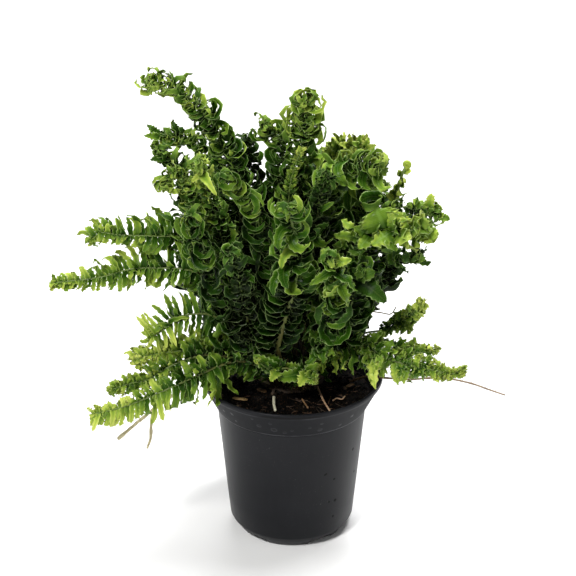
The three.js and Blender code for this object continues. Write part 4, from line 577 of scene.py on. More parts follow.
    ("right_col", 0.418, (-4.7, 16.1, 9.0), 3.0, {'curl': -1.5, 'th0': 0.65, 'tone': 0.66, 'cup': -0.15, 'q': 2.8, 'crn': 0.15, 'fr': 2.2, 'tau': 25}),
    ("right_col", 0.476, (0.2, 13.2, 7.0), 3.0, {'curl': -1.5, 'th0': 0.65, 'tone': 0.64, 'cup': -0.15, 'q': 2.8, 'crn': 0.15, 'fr': 2.2, 'tau': 25}),
    ("right_col", 0.367, (-10.8, 5.6, 9.0), 3.2, {'curl': -1.5, 'th0': 0.65, 'tone': 0.54, 'cup': -0.15, 'q': 2.8, 'crn': 0.15, 'fr': 2.2, 'tau': 25}),
    ("right_col", 0.367, (-5.0, 5.7, 13.0), 3.0, {'curl': -1.5, 'th0': 0.65, 'tone': 0.64, 'cup': -0.15, 'q': 2.8, 'crn': 0.15, 'fr': 2.2, 'tau': 25}),
    ("right_col", 0.367, (0.8, 11.5, 12.0), 2.8, {'curl': -1.5, 'th0': 0.65, 'tone': 0.7, 'cup': -0.15, 'q': 2.8, 'crn': 0.15, 'fr': 2.2, 'tau': 25}),
    ("right_col", 0.476, (6.0, 8.5, 6.0), 2.8, {'curl': -1.5, 'th0': 0.65, 'tone': 0.62, 'cup': -0.15, 'q': 2.8, 'crn': 0.15, 'fr': 2.2, 'tau': 25}),
    ("right_ring", 0.418, (2.6, 9.7, 6.0), 2.8, {'curl': -1.5, 'th0': 0.65, 'tone': 0.66, 'cup': -0.15, 'q': 2.8, 'crn': 0.15, 'fr': 2.2, 'tau': 25}),
    ("right_ring", 0.499, (4.0, 9.7, 5.0), 2.8, {'curl': -1.5, 'th0': 0.65, 'tone': 0.58, 'cup': -0.15, 'q': 2.8, 'crn': 0.15, 'fr': 2.2, 'tau': 25}),
    ("centre_rosette", 0.319, (-6.6, -7.5, 6.0), 3.0, {'curl': -1.5, 'th0': 0.65, 'tone': 0.56, 'cup': -0.15, 'q': 2.8, 'crn': 0.15, 'fr': 2.2, 'tau': 25}),
    ("centre_rosette", 0.336, (7.9, -2.7, 7.0), 3.0, {'curl': -1.5, 'th0': 0.65, 'tone': 0.62, 'cup': -0.15, 'q': 2.8, 'crn': 0.15, 'fr': 2.2, 'tau': 25}),
    ("centre_rosette", 0.387, (8.5, 5.3, 7.0), 3.0, {'curl': -1.5, 'th0': 0.65, 'tone': 0.6, 'cup': -0.15, 'q': 2.8, 'crn': 0.15, 'fr': 2.2, 'tau': 25}),
    ("centre_rosette", 0.404, (-8.2, 5.2, 8.0), 3.0, {'curl': -1.5, 'th0': 0.65, 'tone': 0.54, 'cup': -0.15, 'q': 2.8, 'crn': 0.15, 'fr': 2.2, 'tau': 25}),
    ("centre_rosette", 0.449, (7.4, 9.7, 7.0), 3.0, {'curl': -1.5, 'th0': 0.65, 'tone': 0.6, 'cup': -0.15, 'q': 2.8, 'crn': 0.15, 'fr': 2.2, 'tau': 25}),
    ("centre_rosette", 0.353, (1.5, -8.4, 8.0), 2.8, {'curl': -1.5, 'th0': 0.65, 'tone': 0.66, 'cup': -0.15, 'q': 2.8, 'crn': 0.15, 'fr': 2.2, 'tau': 25}),
    ("dome_arch", 0.877, (-1.3, -12.7, 8.0), 3.3, {'curl': -3.4, 'th0': 1.7, 'tone': 0.89, 'cup': 0.1, 'q': 3.6, 'fr': 0.5, 'crn': 0.08, 'tau': -35, 'roll': 62}),
    ("dome_arch", 0.912, (0.7, -15.3, 8.0), 3.2, {'curl': 3.4, 'th0': -1.7, 'tone': 0.81, 'cup': 0.1, 'q': 3.6, 'fr': 0.5, 'crn': 0.08, 'tau': 35, 'roll': -62}),
    ("dome_arch", 0.845, (-4.2, -12.7, 8.0), 3.0, {'curl': -3.6, 'th0': 1.8, 'tone': 0.73, 'cup': 0.1, 'q': 3.6, 'fr': 0.5, 'crn': 0.08, 'tau': -35, 'roll': 60}),
    ("dome_arch", 0.951, (2.1, -13.4, 8.0), 3.0, {'curl': 3.4, 'th0': -1.7, 'tone': 0.81, 'cup': 0.1, 'q': 3.6, 'fr': 0.5, 'crn': 0.08, 'tau': 35, 'roll': -60}),
    ("dome_arch", 0.796, (-5.6, -10.5, 8.0), 3.0, {'curl': -3.6, 'th0': 1.8, 'tone': 0.61, 'cup': 0.1, 'q': 3.6, 'fr': 0.5, 'crn': 0.08, 'tau': -35, 'roll': 65}),
    ("dome_arch", 0.737, (7.6, -9.9, 8.0), 3.0, {'curl': 3.6, 'th0': -1.8, 'tone': 0.55, 'cup': 0.1, 'q': 3.6, 'fr': 0.5, 'crn': 0.08, 'tau': 35, 'roll': -65}),
    ("dome_right", 0.868, (-8.7, -10.9, 8.0), 3.2, {'curl': -3.4, 'th0': 1.7, 'tone': 0.69, 'cup': 0.1, 'q': 3.6, 'fr': 0.5, 'crn': 0.08, 'tau': -35, 'roll': 60}),
    ("dome_right", 0.817, (-9.0, -11.0, 8.0), 3.0, {'curl': -3.4, 'th0': 1.7, 'tone': 0.61, 'cup': 0.1, 'q': 3.6, 'fr': 0.5, 'crn': 0.08, 'tau': -35, 'roll': 60}),
    ("dome_right", 0.784, (7.2, -9.9, 8.0), 3.0, {'curl': 3.2, 'th0': -1.6, 'tone': 0.59, 'cup': 0.1, 'q': 3.6, 'fr': 0.5, 'crn': 0.08, 'tau': 35, 'roll': -62}),
    ("dome_right", 0.903, (9.9, -6.5, 8.0), 3.0, {'curl': 3.4, 'th0': -1.7, 'tone': 0.75, 'cup': 0.1, 'q': 3.6, 'fr': 0.5, 'crn': 0.08, 'tau': 35, 'roll': -62}),
    ("dome_right", 0.844, (10.0, -7.7, 8.0), 3.0, {'curl': 3.2, 'th0': -1.6, 'tone': 0.65, 'cup': 0.1, 'q': 3.6, 'fr': 0.5, 'crn': 0.08, 'tau': 35, 'roll': -62}),
    ("dome_arch", 0.691, (-5.5, -8.7, 8.0), 3.0, {'curl': -3.4, 'th0': 1.7, 'tone': 0.55, 'cup': 0.1, 'q': 3.6, 'fr': 0.5, 'crn': 0.08, 'tau': -35, 'roll': 62}),
    ("dome_arch", 0.977, (6.8, -8.8, 8.0), 2.8, {'curl': 3.2, 'th0': -1.6, 'tone': 0.83, 'cup': 0.1, 'q': 3.6, 'fr': 0.5, 'crn': 0.08, 'tau': 35, 'roll': -60}),
    ("dome_right", 0.758, (-8.3, -9.9, 8.0), 3.0, {'curl': -3.4, 'th0': 1.7, 'tone': 0.53, 'cup': 0.1, 'q': 3.6, 'fr': 0.5, 'crn': 0.08, 'tau': -35, 'roll': 62}),
    ("dome_right", 0.791, (-12.9, 7.6, -7.0), 4.2, {'curl': -1.2, 'th0': 0.5, 'tone': 0.3, 'cup': 0.2, 'q': 3.0, 'fr': 1.0, 'crn': 0.1, 'tau': 15}),
    ("dome_right", 0.777, (-13.0, 1.3, -9.0), 4.2, {'curl': -1.2, 'th0': 0.5, 'tone': 0.26, 'cup': 0.2, 'q': 3.0, 'fr': 1.0, 'crn': 0.1, 'tau': 15}),
    ("dome_right", 0.751, (-11.1, -3.6, -7.0), 4.0, {'curl': -1.2, 'th0': 0.5, 'tone': 0.26, 'cup': 0.2, 'q': 3.0, 'fr': 1.0, 'crn': 0.1, 'tau': 15}),
    ("dome_arch", 0.785, (10.5, -6.9, -9.0), 4.2, {'curl': -1.2, 'th0': 0.5, 'tone': 0.3, 'cup': 0.2, 'q': 3.0, 'fr': 1.0, 'crn': 0.1, 'tau': 15}),
    ("dome_arch", 0.826, (7.7, 8.2, -6.0), 3.6, {'curl': -1.2, 'th0': 0.5, 'tone': 0.4, 'cup': 0.2, 'q': 3.0, 'fr': 1.0, 'crn': 0.1, 'tau': 15}),
    ("dome_arch", 0.798, (3.8, 9.6, -7.0), 3.4, {'curl': -1.2, 'th0': 0.5, 'tone': 0.36, 'cup': 0.2, 'q': 3.0, 'fr': 1.0, 'crn': 0.1, 'tau': 15}),
    ("dome_arch", 0.877, (6.3, -7.0, -10.0), 3.8, {'curl': -1.2, 'th0': 0.5, 'tone': 0.34, 'cup': 0.2, 'q': 3.0, 'fr': 1.0, 'crn': 0.1, 'tau': 15}),
    ("dome_right", 0.885, (11.4, -7.8, -7.0), 3.6, {'curl': -1.2, 'th0': 0.5, 'tone': 0.34, 'cup': 0.2, 'q': 3.0, 'fr': 1.0, 'crn': 0.1, 'tau': 15}),
    ("dome_right", 0.827, (14.4, -8.1, -8.0), 3.8, {'curl': -1.2, 'th0': 0.5, 'tone': 0.3, 'cup': 0.2, 'q': 3.0, 'fr': 1.0, 'crn': 0.1, 'tau': 15}),
    ("dome_top", 0.833, (-7.4, 7.5, -4.0), 3.0, {'curl': -1.2, 'th0': 0.5, 'tone': 0.5, 'cup': 0.2, 'q': 3.0, 'fr': 1.0, 'crn': 0.1, 'tau': 15}),
    ("dome_top", 0.84, (7.3, 2.0, -5.0), 3.2, {'curl': -1.2, 'th0': 0.5, 'tone': 0.5, 'cup': 0.2, 'q': 3.0, 'fr': 1.0, 'crn': 0.1, 'tau': 15}),
    ("dome_top", 0.891, (-3.9, 6.8, 4.0), 2.3, {'curl': -1.7, 'th0': 0.8, 'tone': 1.04, 'cup': 0.2, 'q': 2.2, 'crn': 0.14, 'fr': 0.9, 'tau': 15, 'root': 0.6}),
    ("dome_top", 0.914, (-1.4, 7.2, 4.0), 2.3, {'curl': -1.7, 'th0': 0.8, 'tone': 1.04, 'cup': 0.2, 'q': 2.2, 'crn': 0.14, 'fr': 0.9, 'tau': 15, 'root': 0.6}),
    ("dome_top", 0.94, (-0.3, 6.5, 5.0), 2.3, {'curl': -1.7, 'th0': 0.8, 'tone': 1.04, 'cup': 0.2, 'q': 2.2, 'crn': 0.14, 'fr': 0.9, 'tau': 15, 'root': 0.6}),
    ("dome_top", 0.965, (1.4, 6.2, 5.0), 2.3, {'curl': -1.7, 'th0': 0.8, 'tone': 1.04, 'cup': 0.2, 'q': 2.2, 'crn': 0.14, 'fr': 0.9, 'tau': 15, 'root': 0.6}),
    ("dome_top", 0.99, (2.6, 5.5, 5.0), 2.3, {'curl': -1.7, 'th0': 0.8, 'tone': 1.04, 'cup': 0.2, 'q': 2.2, 'crn': 0.14, 'fr': 0.9, 'tau': 15, 'root': 0.6}),
    ("dome_top", 0.997, (5.4, 1.2, 5.0), 2.3, {'curl': -1.7, 'th0': 0.8, 'tone': 1.04, 'cup': 0.2, 'q': 2.2, 'crn': 0.14, 'fr': 0.9, 'tau': 15, 'root': 0.6}),
    ("dome_top", 0.862, (-6.6, 5.7, 4.0), 2.3, {'curl': -1.7, 'th0': 0.8, 'tone': 1.04, 'cup': 0.2, 'q': 2.2, 'crn': 0.14, 'fr': 0.9, 'tau': 15, 'root': 0.6}),
    ("dome_top", 0.928, (-4.7, 1.5, 8.0), 2.3, {'curl': -1.7, 'th0': 0.8, 'tone': 1.04, 'cup': 0.2, 'q': 2.2, 'crn': 0.14, 'fr': 0.9, 'tau': 15, 'root': 0.6}),
    ("dome_top", 0.969, (-4.0, 1.4, 9.0), 2.3, {'curl': -1.7, 'th0': 0.8, 'tone': 1.04, 'cup': 0.2, 'q': 2.2, 'crn': 0.14, 'fr': 0.9, 'tau': 15, 'root': 0.6}),
    ("centre_front", 0.701, (3.3, -12.3, 9.0), 3.6, {'curl': 3.3, 'th0': -1.65, 'tone': 0.6, 'cup': 0.12, 'q': 3.4, 'fr': 0.6, 'crn': 0.14, 'tau': 40, 'roll': -50}),
    ("centre_front", 0.701, (-3.9, -11.2, 9.0), 3.4, {'curl': -3.3, 'th0': 1.65, 'tone': 0.56, 'cup': 0.12, 'q': 3.4, 'fr': 0.6, 'crn': 0.14, 'tau': -40, 'roll': 50}),
    ("centre_front", 0.619, (-12.0, -7.5, 9.0), 3.2, {'curl': -3.6, 'th0': 1.8, 'tone': 0.46, 'cup': 0.12, 'q': 3.4, 'fr': 0.6, 'crn': 0.14, 'tau': -40, 'roll': 55}),
    ("centre_front", 0.737, (-9.3, -4.6, 9.0), 3.0, {'curl': -3.4, 'th0': 1.7, 'tone': 0.62, 'cup': 0.12, 'q': 3.4, 'fr': 0.6, 'crn': 0.14, 'tau': -40, 'roll': 50}),
    ("centre_front", 0.77, (8.0, -6.7, 9.0), 3.2, {'curl': 3.4, 'th0': -1.7, 'tone': 0.44, 'cup': 0.12, 'q': 3.4, 'fr': 0.6, 'crn': 0.14, 'tau': 40, 'roll': -55}),
    ("centre_front", 0.837, (-8.4, -7.9, 9.0), 3.2, {'curl': -3.4, 'th0': 1.7, 'tone': 0.46, 'cup': 0.12, 'q': 3.4, 'fr': 0.6, 'crn': 0.14, 'tau': -40, 'roll': 55}),
    ("centre_front", 0.872, (8.2, -8.0, 9.0), 3.2, {'curl': 3.4, 'th0': -1.7, 'tone': 0.46, 'cup': 0.12, 'q': 3.4, 'fr': 0.6, 'crn': 0.14, 'tau': 40, 'roll': -55}),
    ("centre_up", 0.715, (-7.3, -9.6, 9.0), 3.0, {'curl': -3.4, 'th0': 1.7, 'tone': 0.4, 'cup': 0.12, 'q': 3.4, 'fr': 0.6, 'crn': 0.14, 'tau': -40, 'roll': 55}),
    ("centre_up", 0.752, (8.0, -9.6, 9.0), 3.0, {'curl': 3.4, 'th0': -1.7, 'tone': 0.42, 'cup': 0.12, 'q': 3.4, 'fr': 0.6, 'crn': 0.14, 'tau': 40, 'roll': -55}),
    ("front_crenate", 0.61, (-14.5, 8.6, 5.0), 4.6, {'curl': -1.3, 'th0': 0.7, 'tone': 0.8, 'cup': 0.22, 'q': 1.9, 'crn': 0.17, 'fr': 0.5, 'root': 0.5}),
    ("front_crenate", 0.539, (-13.0, 8.8, -0.0), 3.6, {'curl': -1.2, 'th0': 0.6, 'tone': 0.6, 'cup': 0.2, 'q': 2.2, 'crn': 0.2, 'fr': 0.6}),
    ("front_crenate", 0.61, (-4.0, -5.9, 7.0), 3.2, {'curl': -1.0, 'th0': 0.5, 'tone': 0.8, 'q': 2.4, 'crn': 0.22, 'fr': 0.7}),
    ("front_tuft", 0.603, (-16.7, -4.4, 6.0), 4.8, {'curl': -1.5, 'th0': 0.75, 'tone': 0.88, 'cup': 0.22, 'q': 2.0, 'crn': 0.17, 'fr': 0.5, 'root': 0.5}),
    ("front_tuft", 0.569, (-11.9, 4.1, 2.0), 3.8, {'curl': -1.4, 'th0': 0.7, 'tone': 0.74, 'cup': 0.2, 'q': 2.1, 'crn': 0.2, 'fr': 0.6}),
    ("front_tuft", 0.65, (-5.5, -7.5, 7.0), 3.8, {'curl': -1.0, 'th0': 0.5, 'tone': 0.94, 'q': 2.4, 'crn': 0.24, 'fr': 0.8}),
    ("front_tuft", 0.66, (6.0, -6.2, 6.0), 4.2, {'curl': -1.0, 'th0': 0.5, 'tone': 0.9, 'q': 2.6, 'crn': 0.24, 'fr': 0.8}),
    ("front_tuft", 0.66, (6.1, 5.9, 3.0), 3.6, {'curl': -1.0, 'th0': 0.5, 'tone': 0.78, 'q': 2.2, 'crn': 0.24, 'fr': 0.8}),
    ("right_mid", 0.718, (0.8, 13.9, 3.0), 4.0, {'curl': -1.6, 'th0': 0.7, 'tone': 0.34, 'cup': 0.2, 'q': 3.0, 'fr': 1.0, 'crn': 0.12, 'tau': 15}),
    ("right_mid", 0.785, (2.7, 11.9, 2.0), 3.8, {'curl': -1.6, 'th0': 0.7, 'tone': 0.3, 'cup': 0.2, 'q': 3.0, 'fr': 1.0, 'crn': 0.12, 'tau': 15}),
    ("right_mid", 0.679, (-2.2, 13.8, 3.0), 3.6, {'curl': -1.6, 'th0': 0.7, 'tone': 0.3, 'cup': 0.2, 'q': 3.0, 'fr': 1.0, 'crn': 0.12, 'tau': 15}),
    ("dome_right", 0.91, (10.2, -1.0, -2.0), 3.4, {'curl': -1.6, 'th0': 0.7, 'tone': 0.52, 'cup': 0.2, 'q': 3.0, 'fr': 1.0, 'crn': 0.12, 'tau': 15}),
    ("dome_right", 0.953, (9.2, -1.6, -2.0), 3.2, {'curl': -1.6, 'th0': 0.7, 'tone': 0.6, 'cup': 0.2, 'q': 3.0, 'fr': 1.0, 'crn': 0.12, 'tau': 15}),
    ("dome_right", 0.847, (13.5, -1.6, -3.0), 3.4, {'curl': -1.6, 'th0': 0.7, 'tone': 0.44, 'cup': 0.2, 'q': 3.0, 'fr': 1.0, 'crn': 0.12, 'tau': 15}),
    ("dome_top", 0.822, (-4.5, 11.8, -3.0), 3.2, {'curl': -1.6, 'th0': 0.7, 'tone': 0.62, 'cup': 0.2, 'q': 3.0, 'fr': 1.0, 'crn': 0.12, 'tau': 15}),
    ("dome_top", 0.852, (-1.1, 11.1, -3.0), 3.0, {'curl': -1.6, 'th0': 0.7, 'tone': 0.66, 'cup': 0.2, 'q': 3.0, 'fr': 1.0, 'crn': 0.12, 'tau': 15}),
    ("dome_top", 0.771, (-7.8, 10.8, -4.0), 3.2, {'curl': -1.6, 'th0': 0.7, 'tone': 0.46, 'cup': 0.2, 'q': 3.0, 'fr': 1.0, 'crn': 0.12, 'tau': 15}),
    ("back_right_top", 0.699, (14.5, 13.5, -0.0), 6.0, {'curl': -1.6, 'th0': 0.7, 'tone': 0.26, 'cup': 0.2, 'q': 3.0, 'fr': 1.0, 'crn': 0.12, 'tau': 15}),
    ("back_right_top", 0.653, (15.8, 5.7, -0.0), 6.0, {'curl': -1.6, 'th0': 0.7, 'tone': 0.24, 'cup': 0.2, 'q': 3.0, 'fr': 1.0, 'crn': 0.12, 'tau': 15}),
    ("back_right_top", 0.629, (14.9, 0.3, -0.0), 5.0, {'curl': -1.6, 'th0': 0.7, 'tone': 0.22, 'cup': 0.2, 'q': 3.0, 'fr': 1.0, 'crn': 0.12, 'tau': 15}),
    ("flat_mid_left", 0.941, (-3.6, 5.7, 3.0), 2.2, {'curl': -1.6, 'th0': 0.7, 'tone': 0.9, 'cup': 0.2, 'q': 3.0, 'fr': 1.0, 'crn': 0.12, 'tau': 15}),
]


def painted_inner_shade(p):
    """0 for blades deep inside the plant, 1 for those outside: the blades inside are given painted shade, darkened
    where the plant shades itself.
    """
    q = np.linalg.norm((p - np.array([4.0, 0.0, 172.0])) / np.array([90.0, 68.0, 104.0]), axis=-1)
    return ss(0.38, 0.98, q)


def frond(name, kind, tone, w, bare, yaw, pts, detail):
    g = np.random.default_rng(sum(ord(c) * (k + 3) for k, c in enumerate(name)))
    own = OWN.get(name, {})
    kind = own.get("kind", kind)
    H = dict(zip(KEYS, HABIT[kind]))
    H.update(dict(stand=0.0, up=1.0, lo=1.0, base=1.0, tip=1.0))
    H.update(own)
    blade = kind in ("flat", "comb")
    C, S = spline(pts)
    full = S[-1] - (1.5 if kind in ("flat", "comb", "kale") else 4.5)
    L = full - H.get("dead", 0.0)
    bare = min(H.get("bare", bare), L * 0.6)
    tone = H.get("tone", tone) + SHIFT[kind]
    ya, el = math.radians(yaw), math.radians(24.8)
    face = np.array([math.sin(ya) * math.cos(el), -math.cos(ya) * math.cos(el), math.sin(el)])
    # the blade turns with the curve and is drawn back to the way it faces
    st = [i / max(2, round(bare / 11)) * bare for i in range(max(2, round(bare / 11)))]
    pairs = max(4, round((L - bare) / 12))
    for i in range(pairs):
        st += [bare + (i + 0.02) / pairs * (L - bare), bare + (i + 0.5) / pairs * (L - bare)]
    N = face.copy()
    Ns = []
    for s in st:
        T = along(C, S, s)
        N = N + (face - N) * 0.35
        N = N - T * N.dot(T)
        if np.linalg.norm(N) < 0.15:
            N = np.array([0, 0, 1.0]) - T * T[2]
        N = N / np.linalg.norm(N)
        Ns.append(N)
    Ns = np.array(Ns)

    def frame_at(s):
        T = along(C, S, s)
        n = np.stack([np.interp(s, st, Ns[:, k]) for k in range(3)], -1)
        n = unit(n - T * np.sum(n * T, -1, keepdims=True))
        return at(C, S, s), T, n, np.cross(T, n)

    B = Builder()
    # leaflet places, closer together near the tip
    places, s = [], bare
    while s < L - 0.8:
        t = (s - bare) / (L - bare)
        places.append(s)
        s += H["pitch"] * (1 - 0.42 * t ** 1.5) * g.uniform(0.86, 1.14)
    places = np.array(places)
    sl = np.concatenate([places, places + H["pitch"] * 0.5])
    sg = np.concatenate([np.ones(len(places)), -np.ones(len(places))])
    ok = sl < L - 0.6
    sl, sg = sl[ok], sg[ok]
    # extra leaflets crowd round the tip
    extra, reach, big = TIPS[kind]
    big = big * H.get("tipr", 1.0)
    sl = np.concatenate([sl, L - g.uniform(0.4, reach, extra)])
    sg = np.concatenate([sg, np.where(np.arange(extra) % 2 == 0, 1, -1)])
    # and short ones sit over the stalk between the pairs
    main = len(sl)
    pick = g.random(main - extra) < H["inner"]
    sl = np.concatenate([sl, sl[:main - extra][pick] + 0.3 * H["pitch"]])
    sg = np.concatenate([sg, sg[:main - extra][pick]])
    P = len(sl)
    small = np.arange(P) >= main
    last = (np.arange(P) >= main - extra) & ~small
    t = np.clip((sl - bare) / (L - bare), 0, 1)
    sh = np.maximum(share(t), np.where(t > 0.4, H["low"], 0.12))
    o, T, N, Bn = frame_at(sl)

    def rn(k=1.0):
        return g.normal(0, k, P).clip(-2.2 * k, 2.2 * k)

    deg = math.radians
    sweep = deg(H["sweep"]) + deg(H["swt"]) * t ** 1.3 + rn(deg(H["dsw"]))
    sweep[last] = g.uniform(deg(50 if blade else 35), deg(88), extra)
    e1 = sg[:, None] * Bn * np.cos(sweep)[:, None] + T * np.sin(sweep)[:, None]
    # leaflets don't leave the stalk exactly in its plane
    e1 = unit(e1 + N * (0.06 + rn(0.12))[:, None] + N * np.where(small, g.uniform(0.3, 0.9, P), 0)[:, None])
    outw = np.sign((sg[:, None] * Bn)[:, 2])
    if H["stand"] > 0:
        e1 = unit(e1 + np.array([0, 0, 1.0]) * (outw * H["stand"] * (0.6 + 0.8 * g.random(P)))[:, None])
    Tp = unit(T - e1 * np.sum(T * e1, -1, keepdims=True))
    Np = N - e1 * np.sum(N * e1, -1, keepdims=True)
    Np = unit(Np - Tp * np.sum(Np * Tp, -1, keepdims=True))
    phi = deg(H["phi"]) + rn(deg(H["dphi"]))
    kap = H["curl"] + rn(H["dcurl"])
    th0 = H["th0"] * (1 + rn(0.25))
    # the habit drifts along the frond, so the rows break up into clumps
    wander = lambda k: np.sin(sl / 7.3 * k + g.uniform(0, 6.28)) * 0.6 + np.sin(sl / 3.1 * k + g.uniform(0, 6.28)) * 0.4
    if not blade:
        phi = phi + 0.22 * wander(1.0)
        sweep = sweep + 0.12 * wander(1.3)
    if kind in ("ring", "fold"):
        rogue = g.random(P) < 0.20
        phi = np.where(rogue, phi + rn(deg(40)), phi)
        kap = np.where(rogue, kap * 0.7, kap) * (0.80 + 0.20 * sh)
    flip = np.where(g.random(P) < FLIP[kind], -1.0, 1.0)
    kap = kap * flip * np.where(flip < 0, 0.75, 1.0)
    th0 = th0 * flip
    tau = deg(H["tau"]) * flip + rn(deg(H["dtau"]))
    # some flare the other way, with the upper face turned out
    tau = np.where(g.random(P) < H["open"], -0.75 * tau, tau)
    rnd = g.random(P)
    ln = H["len"] * w * (0.35 + 0.65 * sh if kind in ("ring", "fold") else sh ** 0.8) * (1 + rn(0.13))
    ln = ln * np.where(outw > 0, H["up"], H["lo"]) * np.where(t < 0.3, H["base"], 1.0) * (1 + (H["tip"] - 1) * ss(0.6, 1.0, t))
    if not blade:
        ln = ln * (1 + 0.14 * wander(0.8))
    hw = H["hw"] * (0.55 + 0.45 * sh) * (1 + rn(0.10))
    # one stretch where the bowls on the left are large, tidy and bright
    nest = (t > H["nest"][0]) & (t < H["nest"][1]) & ~last & ~small if "nest" in H else np.zeros(P, bool)
    nl, nr = nest & (sg < 0), nest & (sg > 0)
    phi = np.where(nl, deg(H["phi"]) + 0.15 * (phi - deg(H["phi"])), phi)
    kap = np.where(nl, H["curl"] + 0.15 * rn(H["dcurl"]), kap)
    th0, tau = np.where(nl, H["th0"], th0), np.where(nl, deg(H["tau"]), tau)
    e2 = Np * np.cos(phi)[:, None] + Tp * np.sin(phi)[:, None]
    tt = Tp * np.cos(phi)[:, None] - Np * np.sin(phi)[:, None]
    ln = ln * np.where(nl, 1.18, np.where(nr, 0.62, 1.0))
    hw = hw * np.where(nl, 1.08, np.where(nr, 0.75, 1.0))
    if blade:
        ln[last] = np.maximum(0.30 * w, 0.6 * ln[last])
        hw[last] *= 0.85
    else:
        # the tip ends in a rosette: leaflets rise on all sides and fall outwards
        k = np.where(last)[0]
        az = g.uniform(0, 2 * np.pi, extra)[:, None]
        e1[k] = unit(np.cos(az) * Bn[k] + np.sin(az) * N[k] + T[k] * g.normal(0, 0.15, (extra, 1)))
        e2[k] = unit(T[k] - e1[k] * np.sum(T[k] * e1[k], -1, keepdims=True))
        tt[k] = np.cross(e1[k], e2[k]) * sg[k][:, None]
        th0[k] = g.uniform(0.6, 1.35, extra)
        kap[k] = g.uniform(-4.2, -1.6, extra)
        tau[k] = g.normal(0, 0.45, extra)
        ln[k] = g.uniform(0.65, 1.15, extra) * w * big
        hw[k] = H["hw"] * g.uniform(0.55, 0.85, extra)
    ln[small] *= g.uniform(0.38, 0.58, P)[small]
    hw[small] *= 0.85
    kap[small] *= 0.8
    cup = H["cup"] * np.where(g.random(P) < 0.8, 1, -1) + rn(0.14)
    rad = 0.95 * H.get("thick", 1.0) * (1 - 0.62 * sl / L) * np.where(nest, 2.6, 1.0)
    ln[small & (t > H.get("nest", (2, 2))[0]) & (t < 0.5)] *= 0.6
    fr = H["fr"] * (0.5 + 0.5 * sh) * g.uniform(0.6, 1.35, P)
    drift = H["bend"] * (0.75 + 0.5 * g.random(P)) + rn(0.16)
    tipq = H["q"] * g.uniform(0.8, 1.25, P)
    # painted shade: blades deep inside the plant are darkened, as if shaded by the foliage round them
    tv = tone - 0.42 * (1 - painted_inner_shade(o + e1 * (0.45 * ln)[:, None])) + 0.20 * nl
    dtau = rn(0.45)
    # the upper face is the one inside the bowl
    up_side = (kap > 0) | blade
    mine = [q for q in LEAVES if q[0] == name]
    side = grid_side(P + len(mine))
    if own.get("fine") or kind == "kale":
        detail = (14, 7)
    elif own.get("ruffle"):
        detail = (13, 5)
    elif kind in ("fold", "ring"):
        detail = (13, 4)
    elif kind == "curl":
        detail = (11, 4)
    for sel, (nu, nv) in ((~small, detail), (small, (7, 4))):
        k = np.where(sel)[0]
        if len(k):
            leaflets(B, (o + e1 * (rad * 0.35)[:, None])[k], e1[k], e2[k], tt[k], ln[k], hw[k], th0[k], kap[k], np.full(len(k), H["pw"]), tau[k], dtau[k],
                     fr[k], np.full(len(k), H["crn"]), drift[k], cup[k], tipq[k], rnd[k], tv[k], t[k] * (1.0 if blade else 0.55 if kind == "kale" else 0.75), up_side[k], nu, nv, k, side, root=0.80 if blade else 0.40)
    for k, (_, f, way, hwid, q) in enumerate(mine):
        single(B, at(C, S, f * S[-1]), way, hwid, q, P + k, side)
    # the stalk, in a strip of its own beside the leaflets' cells
    s = np.linspace(0, full, max(6, int(full / 3.0)))
    pc = at(C, S, s)
    r = 0.95 * H.get("thick", 1.0) * (1 - 0.62 * s / full)
    tube(B, pc, r, sides=8, m=1, uvbox=(0.02, 1 - 1 / side + 0.01, 0.98, 0.995), up=frame_at(s)[2][0])
    if full > L:
        r = r + 0.35 * ss(full - 3.5, full - 1.0, s)
    lon = np.where(s > L + 0.5, 0.0, s / full)
    tv = np.concatenate([np.repeat(lon, 8), [0, lon[-1]]])
    B.b[-1] = np.stack([np.full(len(tv), tone), tv, np.ones(len(tv))], -1)
    return B


def single(B, o, way, hw, q, cell, side):
    """One leaf from the list; its way is given as seen from the front: right, up, towards the viewer."""
    RT, UP, BK = np.array(rt), np.array(up), -np.array(fw)
    d = RT * way[0] + UP * way[1] + BK * way[2]
    size = np.linalg.norm(d)
    e1 = d / size
    kap = q["curl"]
    L = size / max(0.4, math.sin(abs(kap) / 2) / (abs(kap) / 2))
    e2 = BK - e1 * BK.dot(e1)
    e2 = e2 / np.linalg.norm(e2)
    tt = np.cross(e1, e2)
    ro = math.radians(q.get("roll", 0))
    e2, tt = e2 * math.cos(ro) + tt * math.sin(ro), tt * math.cos(ro) - e2 * math.sin(ro)
    nu, nv = (15, 7)
    if q.get("roll_r"):
        # a broad leaf rolled round an axis of its own, its end inside the roll
        ax = unit(np.array(q["axis"], float))
        a0, r = math.radians(q["start"]), q["roll_r"]
        side_, back = unit(np.cross(ax, RT)), None
        x_ = unit(np.cross(side_, ax)) * -1
        x_ = x_ if x_.dot(RT) > 0 else -x_
        y_ = side_ if side_.dot(BK) < 0 else -side_
        centre = o + d
        rad_ = x_ * math.cos(a0) + y_ * math.sin(a0)
        o = centre + rad_ * r
        e1 = -x_ * math.sin(a0) + y_ * math.cos(a0)
        e2, tt = -rad_, ax
        L = r * abs(kap)
        nu, nv = (27, 9)
    h = (int(cell) * 37 % 100) / 100
    one = lambda x: np.array([float(x)])
    leaflets(B, o[None], e1[None], e2[None], tt[None], one(L), one(hw), one(q["th0"]), one(kap), one(q.get("pw", 1.0)), one(math.radians(q.get("tau", 0))),
             one(0.4 * (h - 0.5)), one(q.get("fr", 0.5)), one(q.get("crn", 0.1)), one(0.3 * (0.5 - h)), one(q.get("cup", 0.2)), one(q.get("q", 2.5)), one(h),
             one(q["tone"]), one(0.5), np.array([not q.get("dull")]), nu, nv, one(cell).astype(int), side, root=q.get("root", 0.4))


def grid_side(P):
    """Cells along one side of the square layout: the last row stays free for the stalk."""
    k = int(math.ceil(math.sqrt(P)))
    while k * k - P < k:
        k += 1
    return k


